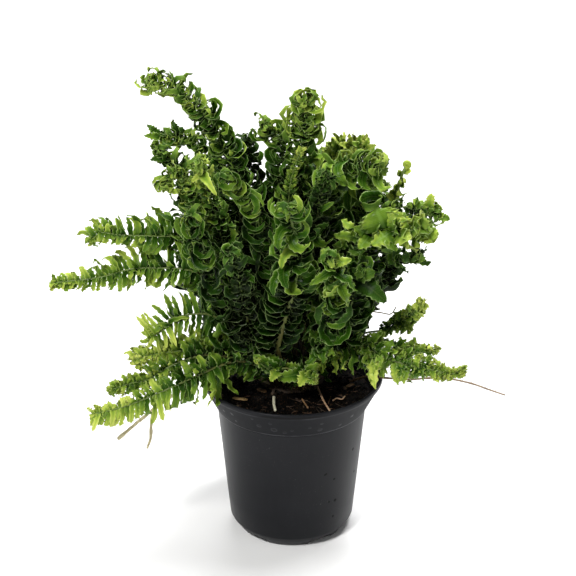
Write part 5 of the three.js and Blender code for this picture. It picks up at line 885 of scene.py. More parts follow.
# ---------------------------------------------------------------- materials
class Shader:
    """A few short calls for building node materials."""

    def __init__(self, name):
        self.mat = bpy.data.materials.new(name)
        self.mat.use_nodes = True
        self.nt = self.mat.node_tree
        self.nt.nodes.clear()
        self.out = self.nt.nodes.new("ShaderNodeOutputMaterial")
        self.bsdf = self.nt.nodes.new("ShaderNodeBsdfPrincipled")
        self.nt.links.new(self.bsdf.outputs[0], self.out.inputs[0])
        self.tc = self.nt.nodes.new("ShaderNodeTexCoord")

    def put(self, sock, val):
        if isinstance(val, bpy.types.NodeSocket):
            self.nt.links.new(val, sock)
        elif isinstance(val, (tuple, list)) and len(val) == 3 and sock.type == "RGBA":
            sock.default_value = (*val, 1)
        else:
            sock.default_value = val

    def math(self, op, a, b=0.0, c=0.0, clamp=False):
        n = self.nt.nodes.new("ShaderNodeMath")
        n.operation = op
        n.use_clamp = clamp
        for i, v in enumerate((a, b, c)):
            self.put(n.inputs[i], v)
        return n.outputs[0]

    def band(self, x, lo, hi):
        n = self.nt.nodes.new("ShaderNodeMapRange")
        n.interpolation_type = "SMOOTHSTEP"
        self.put(n.inputs["Value"], x)
        n.inputs["From Min"].default_value = lo
        n.inputs["From Max"].default_value = hi
        return n.outputs[0]

    def vec(self, scale=(1, 1, 1), src=None):
        n = self.nt.nodes.new("ShaderNodeMapping")
        n.inputs["Scale"].default_value = scale
        self.put(n.inputs["Vector"], src or self.tc.outputs["Object"])
        return n.outputs[0]

    def noise(self, scale, detail=2.0, rough=0.5, vec=None, dist=0.0):
        n = self.nt.nodes.new("ShaderNodeTexNoise")
        n.inputs["Scale"].default_value = scale
        n.inputs["Detail"].default_value = detail
        n.inputs["Roughness"].default_value = rough
        n.inputs["Distortion"].default_value = dist
        self.put(n.inputs["Vector"], vec or self.tc.outputs["Object"])
        return n.outputs["Fac"]

    def voronoi(self, scale, vec=None, feature="F1"):
        n = self.nt.nodes.new("ShaderNodeTexVoronoi")
        n.feature = feature
        n.inputs["Scale"].default_value = scale
        self.put(n.inputs["Vector"], vec or self.tc.outputs["Object"])
        return n.outputs["Distance"]

    def ramp(self, x, stops):
        n = self.nt.nodes.new("ShaderNodeValToRGB")
        e = n.color_ramp.elements
        while len(e) < len(stops):
            e.new(0.5)
        for i, (p, c) in enumerate(stops):
            e[i].position = p
            e[i].color = (*c, 1) if len(c) == 3 else c
        self.put(n.inputs[0], x)
        return n.outputs[0]

    def mix(self, fac, a, b, mode="MIX"):
        n = self.nt.nodes.new("ShaderNodeMix")
        n.data_type = "RGBA"
        n.blend_type = mode
        self.put(n.inputs[0], fac)
        self.put(n.inputs[6], a)
        self.put(n.inputs[7], b)
        return n.outputs[2]

    def attr(self, name):
        n = self.nt.nodes.new("ShaderNodeAttribute")
        n.attribute_name = name
        s = self.nt.nodes.new("ShaderNodeSeparateXYZ")
        self.nt.links.new(n.outputs["Vector"], s.inputs[0])
        return s.outputs[0], s.outputs[1], s.outputs[2]

    def bump(self, height, strength, distance):
        n = self.nt.nodes.new("ShaderNodeBump")
        n.inputs["Strength"].default_value = strength
        n.inputs["Distance"].default_value = distance
        self.put(n.inputs["Height"], height)
        self.nt.links.new(n.outputs[0], self.bsdf.inputs["Normal"])

    def set(self, **kw):
        for k, v in kw.items():
            self.put(self.bsdf.inputs[k.replace("_", " ")], v)
        return self.mat


GREENS = [
    (0.00, (0.0005, 0.0026, 0.0001)),
    (0.20, (0.0026, 0.0125, 0.0005)),
    (0.42, (0.0180, 0.0620, 0.0022)),
    (0.62, (0.1180, 0.2060, 0.0180)),
    (0.80, (0.3250, 0.4200, 0.0560)),
    (1.00, (0.5200, 0.5800, 0.1200)),
]


def leaf_material():
    s = Shader("fern_leaf")
    edge, lon, rnd = s.attr("leaf")
    tone, age, upper = s.attr("age")
    big = s.noise(38, 2)
    mid = s.noise(260, 3)
    fine = s.noise(1500, 3, 0.6)
    x = s.math("MULTIPLY_ADD", tone, 0.56, 0.07)
    x = s.math("ADD", x, s.math("MULTIPLY", s.math("POWER", age, 2.5), 0.30))
    x = s.math("ADD", x, s.math("MULTIPLY", s.math("SUBTRACT", rnd, 0.5), 0.30))
    x = s.math("ADD", x, s.math("MULTIPLY", s.math("SUBTRACT", big, 0.5), 0.40))
    x = s.math("ADD", x, s.math("MULTIPLY", s.math("SUBTRACT", mid, 0.5), 0.16))
    # painted shade: each leaflet darker towards its base by the stalk, lighter towards its tip
    x = s.math("ADD", x, s.math("MULTIPLY", s.math("SUBTRACT", s.band(lon, 0.0, 0.75), 0.62), 0.26), clamp=True)
    # darker towards the middle of each blade
    x = s.math("ADD", x, s.math("MULTIPLY", s.math("SUBTRACT", edge, 0.5), 0.20), clamp=True)
    col = s.ramp(x, GREENS)
    br = s.math("MULTIPLY_ADD", s.band(x, 0.12, 0.62), 0.85, 0.15)
    # veins run from the midrib to the edge, leaning towards the tip
    vein = s.math("SINE", s.math("MULTIPLY_ADD", lon, 118.0, s.math("MULTIPLY", edge, -9.0)))
    vein = s.band(vein, 0.45, 1.0)
    col = s.mix(s.math("MULTIPLY", s.math("MULTIPLY", vein, 0.16), br), col, s.mix(0.5, col, (0.30, 0.42, 0.10)))
    rib = s.math("SUBTRACT", 1.0, s.band(edge, 0.03, 0.16))
    col = s.mix(s.math("MULTIPLY", s.math("MULTIPLY", rib, 0.34), br), col, (0.19, 0.31, 0.06))
    # thin pale margin, uneven: partly the margin's own paler colour, partly a painted highlight along the edge
    margin_and_highlight = s.math("MULTIPLY", s.band(edge, 0.82, 0.96), s.math("MULTIPLY", s.math("MULTIPLY_ADD", s.band(mid, 0.30, 0.66), 0.72, 0.18), s.math("MULTIPLY_ADD", br, 0.74, 0.26)))
    col = s.mix(margin_and_highlight, col, s.mix(0.66, col, (0.46, 0.60, 0.24)))
    # paler, duller under side
    col = s.mix(s.math("MULTIPLY", s.math("MULTIPLY", s.math("SUBTRACT", 1.0, upper), 0.30), br), col, (0.060, 0.115, 0.022))
    speck = s.band(s.noise(900, 1), 0.70, 0.80)
    col = s.mix(s.math("MULTIPLY", speck, 0.18), col, (0.16, 0.11, 0.03))
    s.put(s.bsdf.inputs["Base Color"], col)
    rough = s.math("MULTIPLY_ADD", fine, 0.24, 0.13)
    rough = s.math("ADD", rough, s.math("MULTIPLY", s.math("SUBTRACT", 1.0, upper), 0.16))
    s.put(s.bsdf.inputs["Roughness"], rough)
    h = s.math("ADD", s.math("MULTIPLY", vein, 0.7), s.math("MULTIPLY", fine, 0.5))
    s.bump(h, 0.35, 0.00012)
    s.set(Specular_IOR_Level=0.22, IOR=1.24)
    return s.mat


def stalk_material():
    s = Shader("fern_stalk")
    tone, lon, _ = s.attr("age")
    fib = s.noise(900, 3, 0.6, vec=s.vec((1, 1, 0.22)))
    pat = s.noise(120, 2)
    col = s.ramp(s.math("ADD", lon, s.math("MULTIPLY", s.math("SUBTRACT", pat, 0.5), 0.5), clamp=True), [
        (0.0, (0.060, 0.036, 0.014)), (0.26, (0.112, 0.104, 0.020)), (0.62, (0.100, 0.145, 0.024)), (1.0, (0.16, 0.24, 0.05))])
    col = s.mix(s.math("MULTIPLY", s.band(fib, 0.52, 0.70), 0.5), col, (0.035, 0.020, 0.009))
    s.put(s.bsdf.inputs["Base Color"], col)
    s.put(s.bsdf.inputs["Roughness"], s.math("MULTIPLY_ADD", fib, 0.3, 0.38))
    s.bump(fib, 0.5, 0.00025)
    return s.mat


def wood_material(name, dark, pale, scale=500, rough=0.6, stripe=(1, 1, 1), speck=None):
    s = Shader(name)
    a = s.noise(scale, 4, 0.65, vec=s.vec(stripe))
    b = s.noise(scale * 0.22, 2)
    x = s.math("ADD", s.math("MULTIPLY", a, 0.7), s.math("MULTIPLY", b, 0.45), clamp=True)
    col = s.ramp(x, [(0.32, dark), (0.75, pale)])
    if speck:
        col = s.mix(s.math("MULTIPLY", s.band(s.noise(scale * 1.7, 1), 0.60, 0.72), 0.7), col, speck)
    s.put(s.bsdf.inputs["Base Color"], col)
    s.put(s.bsdf.inputs["Roughness"], s.math("MULTIPLY_ADD", a, 0.35, rough - 0.15))
    s.bump(a, 0.6, 0.0004)
    return s.mat


def soil_material():
    s = Shader("potting_mix")
    a = s.noise(700, 4, 0.7)
    b = s.noise(150, 2)
    c = s.voronoi(520)
    col = s.ramp(s.math("ADD", s.math("MULTIPLY", a, 0.65), s.math("MULTIPLY", b, 0.4)), [
        (0.36, (0.0004, 0.0003, 0.0003)), (0.58, (0.0015, 0.0011, 0.0008)), (0.82, (0.030, 0.018, 0.010))])
    col = s.mix(s.math("MULTIPLY", s.band(s.noise(1100, 1), 0.66, 0.74), 0.55), col, (0.16, 0.085, 0.040))
    s.put(s.bsdf.inputs["Base Color"], col)
    s.put(s.bsdf.inputs["Roughness"], s.math("MULTIPLY_ADD", a, 0.6, 0.30))
    s.bump(s.math("ADD", a, s.math("MULTIPLY", c, -0.8)), 0.8, 0.0009)
    s.set(Specular_IOR_Level=0.10)
    return s.mat


POT_DROPS = ((-112.5, 91.1, 1.3), (-102.2, 89.4, 1.7), (-104.0, 94.7, 0.9), (-94.8, 87.5, 1.0), (-132.8, 94.5, 1.2), (-141.8, 93.0, 1.0), (-89.8, 89.4, 0.8),
             (-70.0, 88.1, 1.4), (-70.0, 93.5, 0.9), (-132.2, 88.8, 0.9), (-45.2, 92.0, 1.2), (-54.0, 87.8, 1.0), (-116.0, 96.3, 0.8), (-77.8, 91.2, 0.8),
             (-20.0, 91.0, 1.2), (8.0, 93.0, 1.0), (37.0, 89.5, 1.3), (71.0, 92.5, 0.9), (104.0, 90.0, 1.4), (139.0, 94.0, 1.0), (172.0, 90.5, 1.2))
POT_SPECKS = ((-31.3, 62.0, 1.3), (-23.2, 42.9, 1.2), (-62.0, 52.8, 0.9), (-52.5, 47.4, 1.0), (-49.2, 31.1, 1.4), (-56.0, 31.5, 0.9), (-163.2, 47.4, 1.0),
              (-61.0, 53.3, 0.8), (-50.0, 19.4, 1.1), (20.0, 35.0, 1.2), (58.0, 60.0, 1.0), (95.0, 28.0, 1.3), (130.0, 52.0, 1.0))


def pot_material():
    s = Shader("pot_plastic")
    z = s.vec((1, 1, 0.10))
    streak = s.noise(420, 3, 0.6, vec=z)
    cloud = s.noise(26, 3, 0.55)
    fine = s.noise(2600, 2, 0.6)
    col = s.ramp(s.math("ADD", s.math("MULTIPLY", cloud, 0.7), s.math("MULTIPLY", streak, 0.3)), [
        (0.30, (0.0071, 0.0075, 0.0091)), (0.70, (0.0108, 0.0114, 0.0134))])
    dust = s.math("MULTIPLY", s.band(s.noise(1500, 2, 0.6), 0.68, 0.78), s.band(s.noise(30, 2), 0.45, 0.62))
    col = s.mix(s.math("MULTIPLY", dust, 0.5), col, (0.16, 0.155, 0.145))
    smear = s.math("MULTIPLY", s.band(s.noise(90, 4, 0.7), 0.60, 0.72), s.band(s.noise(17, 1), 0.52, 0.66))
    col = s.mix(s.math("MULTIPLY", smear, 0.45), col, (0.012, 0.010, 0.009))
    # painted shade on the flared band, which faces up into the top light, with painted highlight lines below and above
    # it
    sx = s.nt.nodes.new("ShaderNodeSeparateXYZ")
    s.nt.links.new(s.tc.outputs["Object"], sx.inputs[0])
    z = sx.outputs[2]
    zone = lambda a, b, c, d: s.math("MULTIPLY", s.band(z, a, b), s.math("SUBTRACT", 1.0, s.band(z, c, d)))
    flare = zone(0.0843, 0.0850, 0.0985, 0.0995)
    # painted shade: the flared band is darkened
    col = s.mix(s.math("MULTIPLY", flare, 0.16), col, (0.0022, 0.0024, 0.0030))
    # painted highlight: pale lines along the ledge under the band and under the lip, broken up by noise
    highlight_breaks = s.band(s.noise(75, 3, 0.6), 0.36, 0.62)
    highlight_lines = s.math("ADD", zone(0.0837, 0.0841, 0.0847, 0.0851), s.math("MULTIPLY", zone(0.0989, 0.0993, 0.0999, 0.1002), 0.7))
    col = s.mix(s.math("MULTIPLY", s.math("MULTIPLY", highlight_lines, highlight_breaks), 0.60), col, (0.062, 0.064, 0.070))
    # water drops standing on the band: place round the pot (degrees), height and radius (mm)
    warp = s.math("MULTIPLY", s.math("SUBTRACT", s.noise(700, 2), 0.5), 0.0009)
    drop, ring, speck = 0.0, 0.0, 0.0
    for az, h, size in POT_DROPS + POT_SPECKS:
        rr = (0.04662 + (h - 84.7) * 0.000507) if h > 84.7 else 0.03805 + (h - 8.2) * 0.0000956
        away = s.nt.nodes.new("ShaderNodeVectorMath")
        away.operation = "DISTANCE"
        s.nt.links.new(s.tc.outputs["Object"], away.inputs[0])
        away.inputs[1].default_value = (rr * math.cos(math.radians(az)), rr * math.sin(math.radians(az)), h * 0.001)
        d, q = s.math("ADD", away.outputs["Value"], warp), size * 0.001
        if (az, h, size) in POT_SPECKS:
            speck = s.math("MAXIMUM", speck, s.math("SUBTRACT", 1.0, s.band(d, 0.5 * q, q)))
        else:
            drop = s.math("MAXIMUM", drop, s.math("SUBTRACT", 1.0, s.band(d, 0.45 * q, q)))
            ring = s.math("MAXIMUM", ring, s.math("MULTIPLY", s.band(d, 0.72 * q, 0.92 * q), s.math("SUBTRACT", 1.0, s.band(d, 1.0 * q, 1.25 * q))))
    col = s.mix(s.math("MULTIPLY", drop, 0.75), col, (0.0022, 0.0024, 0.0030))
    # painted highlight: a pale ring round each water drop
    col = s.mix(s.math("MULTIPLY", ring, 0.42), col, (0.060, 0.062, 0.068))
    col = s.mix(speck, col, (0.0004, 0.0004, 0.0004))
    # painted reflection: a dark line under the lip, at the front
    lip_dark_reflection = s.math("MULTIPLY", zone(0.0999, 0.1004, 0.1013, 0.1018), s.math("SUBTRACT", 1.0, s.band(s.math("ABSOLUTE", sx.outputs[0]), 0.013, 0.024)))
    lip_dark_reflection = s.math("MULTIPLY", lip_dark_reflection, s.math("LESS_THAN", sx.outputs[1], 0.0))
    col = s.mix(s.math("MULTIPLY", lip_dark_reflection, 0.9), col, (0.0008, 0.0008, 0.0010))
    s.put(s.bsdf.inputs["Base Color"], col)
    r = s.math("ADD", s.math("MULTIPLY_ADD", streak, 0.12, 0.30), s.math("MULTIPLY", dust, 0.25))
    r = s.math("ADD", r, s.math("MULTIPLY", cloud, 0.10))
    s.put(s.bsdf.inputs["Roughness"], s.math("SUBTRACT", s.math("ADD", r, s.math("MULTIPLY", flare, 0.24)), s.math("MULTIPLY_ADD", speck, -0.25, s.math("MULTIPLY", drop, 0.30))))
    s.bump(s.math("ADD", s.math("MULTIPLY", drop, 9.0), s.math("ADD", s.math("MULTIPLY", fine, 0.25), s.math("MULTIPLY", streak, 0.75))), 0.12, 0.0002)
    s.set(Specular_IOR_Level=0.112)
    return s.mat


M_LEAF = leaf_material()
M_STALK = stalk_material()
M_SOIL = soil_material()
M_POT = pot_material()
M_CROWN = wood_material("crown_fibre", (0.007, 0.005, 0.003), (0.055, 0.032, 0.016), 600, 0.75, (1, 1, 1), (0.11, 0.07, 0.035))
M_DRY = wood_material("dry_stem", (0.10, 0.065, 0.030), (0.42, 0.33, 0.19), 800, 0.6, (1, 1, 0.3), (0.12, 0.06, 0.03))
M_CREAM = wood_material("dry_root", (0.30, 0.24, 0.11), (0.66, 0.60, 0.36), 700, 0.6, (1, 1, 0.3), (0.16, 0.09, 0.05))
M_DEAD = wood_material("dead_stem", (0.012, 0.006, 0.004), (0.13, 0.065, 0.030), 800, 0.55, (1, 1, 0.3))
M_RUNNER = wood_material("runner_skin", (0.085, 0.040, 0.018), (0.30, 0.20, 0.095), 900, 0.55, (1, 1, 0.3), (0.10, 0.035, 0.018))
M_ROOT = wood_material("root_skin", (0.16, 0.075, 0.035), (0.52, 0.36, 0.22), 900, 0.45, (1, 1, 0.3), (0.22, 0.05, 0.03))
M_PALE = wood_material("pale_stick", (0.30, 0.28, 0.18), (0.68, 0.66, 0.50), 800, 0.55, (1, 1, 0.3), (0.25, 0.16, 0.07))
M_CHIP = wood_material("bark_chip", (0.045, 0.024, 0.012), (0.30, 0.17, 0.075), 500, 0.65, (1, 0.3, 1), (0.02, 0.01, 0.006))
M_CHIP_PALE = wood_material("dry_chip", (0.20, 0.10, 0.035), (0.58, 0.40, 0.17), 500, 0.6, (1, 0.3, 1), (0.10, 0.04, 0.02))

# ---------------------------------------------------------------- fronds
BACK = ("back_left", "back_centre", "back_right", "back_low", "back_right_low", "back_left_low", "back_low_right",
        "back_low_left", "back_right_top", "back_top_left")
for name, kind, tone, w, bare, yaw, pts in FRONDS:
    if name in BACK:
        detail = (8, 4)
    elif kind == "ring":
        detail = (13, 5)
    elif kind == "frill":
        detail = (11, 5)
    else:
        detail = (10, 5)
    Bf = frond(name, kind, tone, w, bare, yaw, pts, detail)
    piece("fern_" + name, Bf.mesh("fern_" + name, [M_LEAF, M_STALK], uv=True), "frond_" + name)


# ---------------------------------------------------------------- lumps, for grains, chips and crumbs
def ico(level):
    ph = (1 + 5 ** 0.5) / 2
    v = np.array([(-1, ph, 0), (1, ph, 0), (-1, -ph, 0), (1, -ph, 0), (0, -1, ph), (0, 1, ph), (0, -1, -ph), (0, 1, -ph),
                  (ph, 0, -1), (ph, 0, 1), (-ph, 0, -1), (-ph, 0, 1)], float)
    v = v / np.linalg.norm(v[0])
    f = [(0, 11, 5), (0, 5, 1), (0, 1, 7), (0, 7, 10), (0, 10, 11), (1, 5, 9), (5, 11, 4), (11, 10, 2), (10, 7, 6), (7, 1, 8),
         (3, 9, 4), (3, 4, 2), (3, 2, 6), (3, 6, 8), (3, 8, 9), (4, 9, 5), (2, 4, 11), (6, 2, 10), (8, 6, 7), (9, 8, 1)]
    for _ in range(level):
        v = list(map(tuple, v))
        mid, nf = {}, []

        def m(a, b):
            k = (min(a, b), max(a, b))
            if k not in mid:
                p = (np.array(v[a]) + np.array(v[b])) / 2
                v.append(tuple(p / np.linalg.norm(p)))
                mid[k] = len(v) - 1
            return mid[k]

        for a, b, c in f:
            ab, bc, ca = m(a, b), m(b, c), m(c, a)
            nf += [(a, ab, ca), (b, bc, ab), (c, ca, bc), (ab, bc, ca)]
        f = nf
        v = np.array(v)
    return np.array(v), np.array(f)


ICO = [ico(0), ico(1), ico(2)]


def rot(ax, ay, az):
    m = Matrix.Rotation(az, 3, "Z") @ Matrix.Rotation(ay, 3, "Y") @ Matrix.Rotation(ax, 3, "X")
    return np.array(m)


def lump(c, size, angles, level, rough, g):
    v, f = ICO[level]
    k = 1 + g.uniform(-rough, rough, len(v))[:, None]
    return (v * k * np.array(size)) @ rot(*angles).T + np.array(c), f


class Soup:
    def __init__(self):
        self.v, self.f, self.m, self.n = [], [], [], 0

    def add(self, v, f, m=0):
        self.v.append(np.asarray(v, float))
        self.f.extend([tuple(int(i) + self.n for i in q) for q in f])
        self.m.extend([m] * len(f))
        self.n += len(v)

    def mesh(self, name, materials, smooth=True):
        me = bpy.data.meshes.new(name)
        me.from_pydata((np.vstack(self.v) * MM).tolist(), [], self.f)
        me.polygons.foreach_set("material_index", np.array(self.m, np.int32))
        if smooth:
            me.polygons.foreach_set("use_smooth", np.ones(len(self.f), bool))
        for m in materials:
            me.materials.append(m)
        me.update()
        me.validate()
        return me


def tube_soup(S, pts, radii, sides=7, m=0, wob=0.0, g=RNG):
    B = Builder()
    tube(B, pts, radii, sides=sides, wob=wob)
    S.add(np.vstack(B.v), np.vstack(B.q), m)


# ---------------------------------------------------------------- pot
def lathe(profile, seg):
    prof = np.array(profile, float)
    a = np.arange(seg) / seg * 2 * np.pi
    v, f = [], []
    ids = []
    for r, z in prof:
        if r < 1e-6:
            ids.append([len(v)])
            v.append((0, 0, z))
        else:
            ids.append(list(range(len(v), len(v) + seg)))
            v += [(r * math.sin(t), -r * math.cos(t), z) for t in a]
    for A, C in zip(ids[:-1], ids[1:]):
        for j in range(seg):
            k = (j + 1) % seg
            if len(A) == 1:
                f.append((A[0], C[k], C[j]))
            elif len(C) == 1:
                f.append((A[j], A[k], C[0]))
            else:
                f.append((A[j], A[k], C[k], C[j]))
    return v, f


def arc(cx, cz, r, a0, a1, n):
    return [(cx + r * math.cos(math.radians(a0 + (a1 - a0) * i / n)), cz + r * math.sin(math.radians(a0 + (a1 - a0) * i / n))) for i in range(n + 1)]


def pot_mesh():
    body = [(CHAMFER_R / MM + (BODY_TOP_R - CHAMFER_R) / MM * t, CHAMFER_Z / MM + (LEDGE_Z / MM - 0.8 - CHAMFER_Z / MM) * t) for t in np.linspace(0.04, 0.985, 7)]
    outer = [(0, 0.35), (24, 0.35), (25, 0.0), (31.9, 0.0), (32.6, 0.15), (33.0, 0.5), (37.5, 7.0), (38.05, 8.2)] + body[1:]
    outer += [(45.25, 83.5), (45.75, 83.85), (46.3, 84.15), (46.62, 84.7), (50.2, 91.8), (53.7, 98.7), (54.1, 99.35), (54.15, 99.6),
              (54.3, 99.75), (54.85, 99.95), (55.0, 100.3), (55.0, 101.9), (54.85, 102.4), (54.4, 102.72), (54.0, 102.8)]
    inner = [(53.7, 102.72), (53.35, 102.35), (53.1, 101.8), (49.4, 93.5), (45.3, 84.4), (44.3, 83.0), (40.6, 45.0), (37.0, 8.2),
             (32.0, 1.9), (31.0, 1.5), (0, 1.5)]
    v, f = lathe(outer + inner, 144)
    me = bpy.data.meshes.new("pot_shell")
    me.from_pydata([tuple(c * MM for c in p) for p in v], [], f)
    me.update()
    ob = bpy.data.objects.new("pot_shell", me)
    scene.collection.objects.link(ob)
    # drainage arches cut through the foot of the wall
    cv, cf = [], []
    hw, hh = ARCH_W / 2, ARCH_H
    shape = [(-hw, -0.002), (hw, -0.002), (hw, 0.0008), (hw - 0.0007, 0.0018), (hw - 0.0020, hh - 0.0008), (hw - 0.0042, hh),
             (-hw + 0.0042, hh), (-hw + 0.0020, hh - 0.0008), (-hw + 0.0007, 0.0018), (-hw, 0.0008)]
    for i in range(ARCHES):
        a = ARCH_FIRST + i * 2 * math.pi / ARCHES
        base = len(cv)
        for y in (-BASE_R + 0.0036, -BASE_R - 0.0104):
            for x, z in shape:
                cv.append((x * math.cos(a) - y * math.sin(a), x * math.sin(a) + y * math.cos(a), z))
        n = len(shape)
        cf.append(tuple(base + k for k in range(n))[::-1])
        cf.append(tuple(base + n + k for k in range(n)))
        for k in range(n):
            cf.append((base + k, base + (k + 1) % n, base + n + (k + 1) % n, base + n + k))
    cm = bpy.data.meshes.new("cut")
    cm.from_pydata(cv, [], [tuple(q) for q in cf])
    cm.update()
    import bmesh
    bm = bmesh.new()
    bm.from_mesh(cm)
    bmesh.ops.recalc_face_normals(bm, faces=bm.faces)
    bm.to_mesh(cm)
    bm.free()
    co = bpy.data.objects.new("cut", cm)
    scene.collection.objects.link(co)
    md = ob.modifiers.new("arches", "BOOLEAN")
    md.operation = "DIFFERENCE"
    md.solver = "EXACT"
    md.object = co
    dg = bpy.context.evaluated_depsgraph_get()
    res = bpy.data.meshes.new_from_object(ob.evaluated_get(dg))
    bpy.data.objects.remove(ob)
    bpy.data.objects.remove(co)
    bpy.data.meshes.remove(me)
    bpy.data.meshes.remove(cm)
    res.name = "pot"
    res.materials.clear()
    res.materials.append(M_POT)
    res.polygons.foreach_set("use_smooth", np.ones(len(res.polygons), bool))
    res.set_sharp_from_angle(angle=math.radians(38))
    return res


piece("grow_pot", pot_mesh(), "pot")

# ---------------------------------------------------------------- soil
from mathutils import noise as mn


def soil_top(r):
    return SOIL_Z / MM + SOIL_DOME / MM * (1 - (r / 46) ** 2)


def bumpy(x, y, s, seed):
    return mn.noise(Vector((x * s + seed, y * s - seed, seed * 0.37)))


g = np.random.default_rng(99)
S = Soup()
rings, seg = 44, 132
RS = 47.6
v = [(0, 0, soil_top(0))]
for i in range(1, rings + 1):
    r = RS * i / rings
    for j in range(seg):
        a = 2 * math.pi * (j + 0.5 * (i % 2)) / seg
        x, y = r * math.cos(a), r * math.sin(a)
        z = soil_top(r) + 0.9 * bumpy(x, y, 0.16, 3.1) + 0.75 * bumpy(x, y, 0.45, 8.2) + 0.35 * bumpy(x, y, 1.1, 5.7) - 0.25
        if i == rings:
            z = soil_top(r) - 0.9
        v.append((x, y, z))
f = [(0, 1 + j, 1 + (j + 1) % seg) for j in range(seg)]
for i in range(1, rings):
    a0, b0 = 1 + (i - 1) * seg, 1 + i * seg
    for j in range(seg):
        k = (j + 1) % seg
        f.append((a0 + j, b0 + j, b0 + k, a0 + k))
top_ring = 1 + (rings - 1) * seg
side = [(45.9, 87.0), (44.7, 84.4), (43.9, 81.0), (37.4, 9.6), (30.8, 2.1)]
prev = top_ring
for r, z in side:
    base = len(v)
    for j in range(seg):
        a = 2 * math.pi * (j + 0.5 * (rings % 2)) / seg
        v.append((r * math.cos(a), r * math.sin(a), z))
    for j in range(seg):
        k = (j + 1) % seg
        f.append((prev + j, base + j, base + k, prev + k))
    prev = base
v.append((0, 0, 2.1))
for j in range(seg):
    f.append((prev + j, len(v) - 1, prev + (j + 1) % seg))
S.add(v, f, 0)
# grains of the mix, spread evenly over the top
for n in range(1100):
    r = 46.6 * math.sqrt(g.random())
    a = g.uniform(0, 2 * math.pi)
    x, y = r * math.cos(a), r * math.sin(a)
    big = g.random()
    sz = g.uniform(0.35, 0.9) if big < 0.8 else g.uniform(0.9, 1.9)
    sz = min(sz, (47.9 - r) * 0.8)
    if sz < 0.25:
        continue
    vv, ff = lump((x, y, soil_top(r) + g.uniform(-0.1, 0.55) * sz + 0.15), (sz, sz * g.uniform(0.5, 0.9), sz * g.uniform(0.35, 0.7)),
                  g.uniform(-0.5, 0.5, 3) + np.array([0, 0, g.uniform(0, 6)]), 0 if sz < 1.25 else 1, 0.28, g)
    S.add(vv, ff, 0 if g.random() < 0.93 else 1)
# fine roots and fibres lying on the mix
for n in range(90):
    r = 44 * math.sqrt(g.random())
    a = g.uniform(0, 2 * math.pi)
    d = g.uniform(0, 2 * math.pi)
    ln = g.uniform(3, 9)
    bend = g.uniform(-0.12, 0.12)
    p, x, y = [], r * math.cos(a), r * math.sin(a)
    for k in range(7):
        rr = math.hypot(x, y)
        if rr > 46.2:
            x, y = x * 46.2 / rr, y * 46.2 / rr
            rr = 46.2
        p.append((x, y, soil_top(rr) + 0.55 + 0.35 * math.sin(k * 0.5 + n)))
        x += math.cos(d) * ln / 6
        y += math.sin(d) * ln / 6
        d += bend * 2.5
    if np.linalg.norm(np.diff(np.array(p), axis=0), axis=1).min() > 0.1:
        tube_soup(S, p, np.linspace(0.20, 0.10, 7), 5, 2 if n % 3 else 1)
piece("potting_mix", S.mesh("potting_mix", [M_SOIL, M_CROWN, M_DEAD]), "soil")

# ---------------------------------------------------------------- crown
g = np.random.default_rng(17)
S = Soup()


def crown_top(x, y):
    q = min(1.0, math.hypot(x, y - CROWN_Y / MM) / (CROWN_R / MM))
    return SOIL_Z / MM + SOIL_DOME / MM + GAP / MM + CROWN_H / MM * (1 - q * q)


rings, seg = 22, 72
v = [(0, CROWN_Y / MM, crown_top(0, CROWN_Y / MM))]
for i in range(1, rings + 1):
    r = CROWN_R / MM * i / rings
    for j in range(seg):
        a = 2 * math.pi * j / seg
        x, y = r * math.cos(a), CROWN_Y / MM + r * math.sin(a)
        z = crown_top(x, y) + (0.8 * bumpy(x, y, 0.30, 2.2) + 0.6 * bumpy(x, y, 0.8, 6.6)) * (1 if i < rings else 0)
        v.append((x, y, z if i < rings else SOIL_Z / MM + 1.2))
f = [(0, 1 + j, 1 + (j + 1) % seg) for j in range(seg)]
for i in range(1, rings):
    a0, b0 = 1 + (i - 1) * seg, 1 + i * seg
    for j in range(seg):
        k = (j + 1) % seg
        f.append((a0 + j, b0 + j, b0 + k, a0 + k))
lastr = 1 + (rings - 1) * seg
v.append((0, CROWN_Y / MM, SOIL_Z / MM + 1.0))
for j in range(seg):
    f.append((lastr + j, len(v) - 1, lastr + (j + 1) % seg))
S.add(v, f, 0)
for n in range(46):
    # stubs of old stalks
    r, a = (CROWN_R / MM - 2) * math.sqrt(g.random()), g.uniform(0, 2 * math.pi)
    x, y = r * math.cos(a), CROWN_Y / MM + r * math.sin(a)
    z = crown_top(x, y)
    ln = g.uniform(2.0, 5.0)
    lx, ly = 0.35 * math.cos(a) + g.uniform(-0.3, 0.3), 0.35 * math.sin(a) + g.uniform(-0.3, 0.3)
    p = [(x + lx * k * ln / 4, y + ly * k * ln / 4, z - 1.0 + k * ln / 4) for k in range(5)]
    tube_soup(S, p, np.linspace(0.95, 0.6, 5) * g.uniform(0.6, 1.0), 7, 1 if n % 3 else 2, wob=0.12)
for n in range(240):
    # brown hair-like scales lying on it
    r, a = (CROWN_R / MM - 1) * math.sqrt(g.random()), g.uniform(0, 2 * math.pi)
    x, y = r * math.cos(a), CROWN_Y / MM + r * math.sin(a)
    d = g.uniform(0, 2 * math.pi)
    ln = g.uniform(2.5, 6)
    p = []
    for k in range(5):
        q = math.hypot(x, y - CROWN_Y / MM)
        if q > CROWN_R / MM - 0.6:
            break
        p.append((x, y, crown_top(x, y) + 0.5 + 0.5 * math.sin(k * 0.9 + n)))
        x += math.cos(d) * ln / 4
        y += math.sin(d) * ln / 4
        d += g.uniform(-0.35, 0.35)
    if len(p) > 3:
        tube_soup(S, p, np.linspace(0.22, 0.08, len(p)), 4, n % 3)
piece("crown_fibres", S.mesh("crown_fibres", [M_CROWN, M_RUNNER, M_DEAD]), "crown")


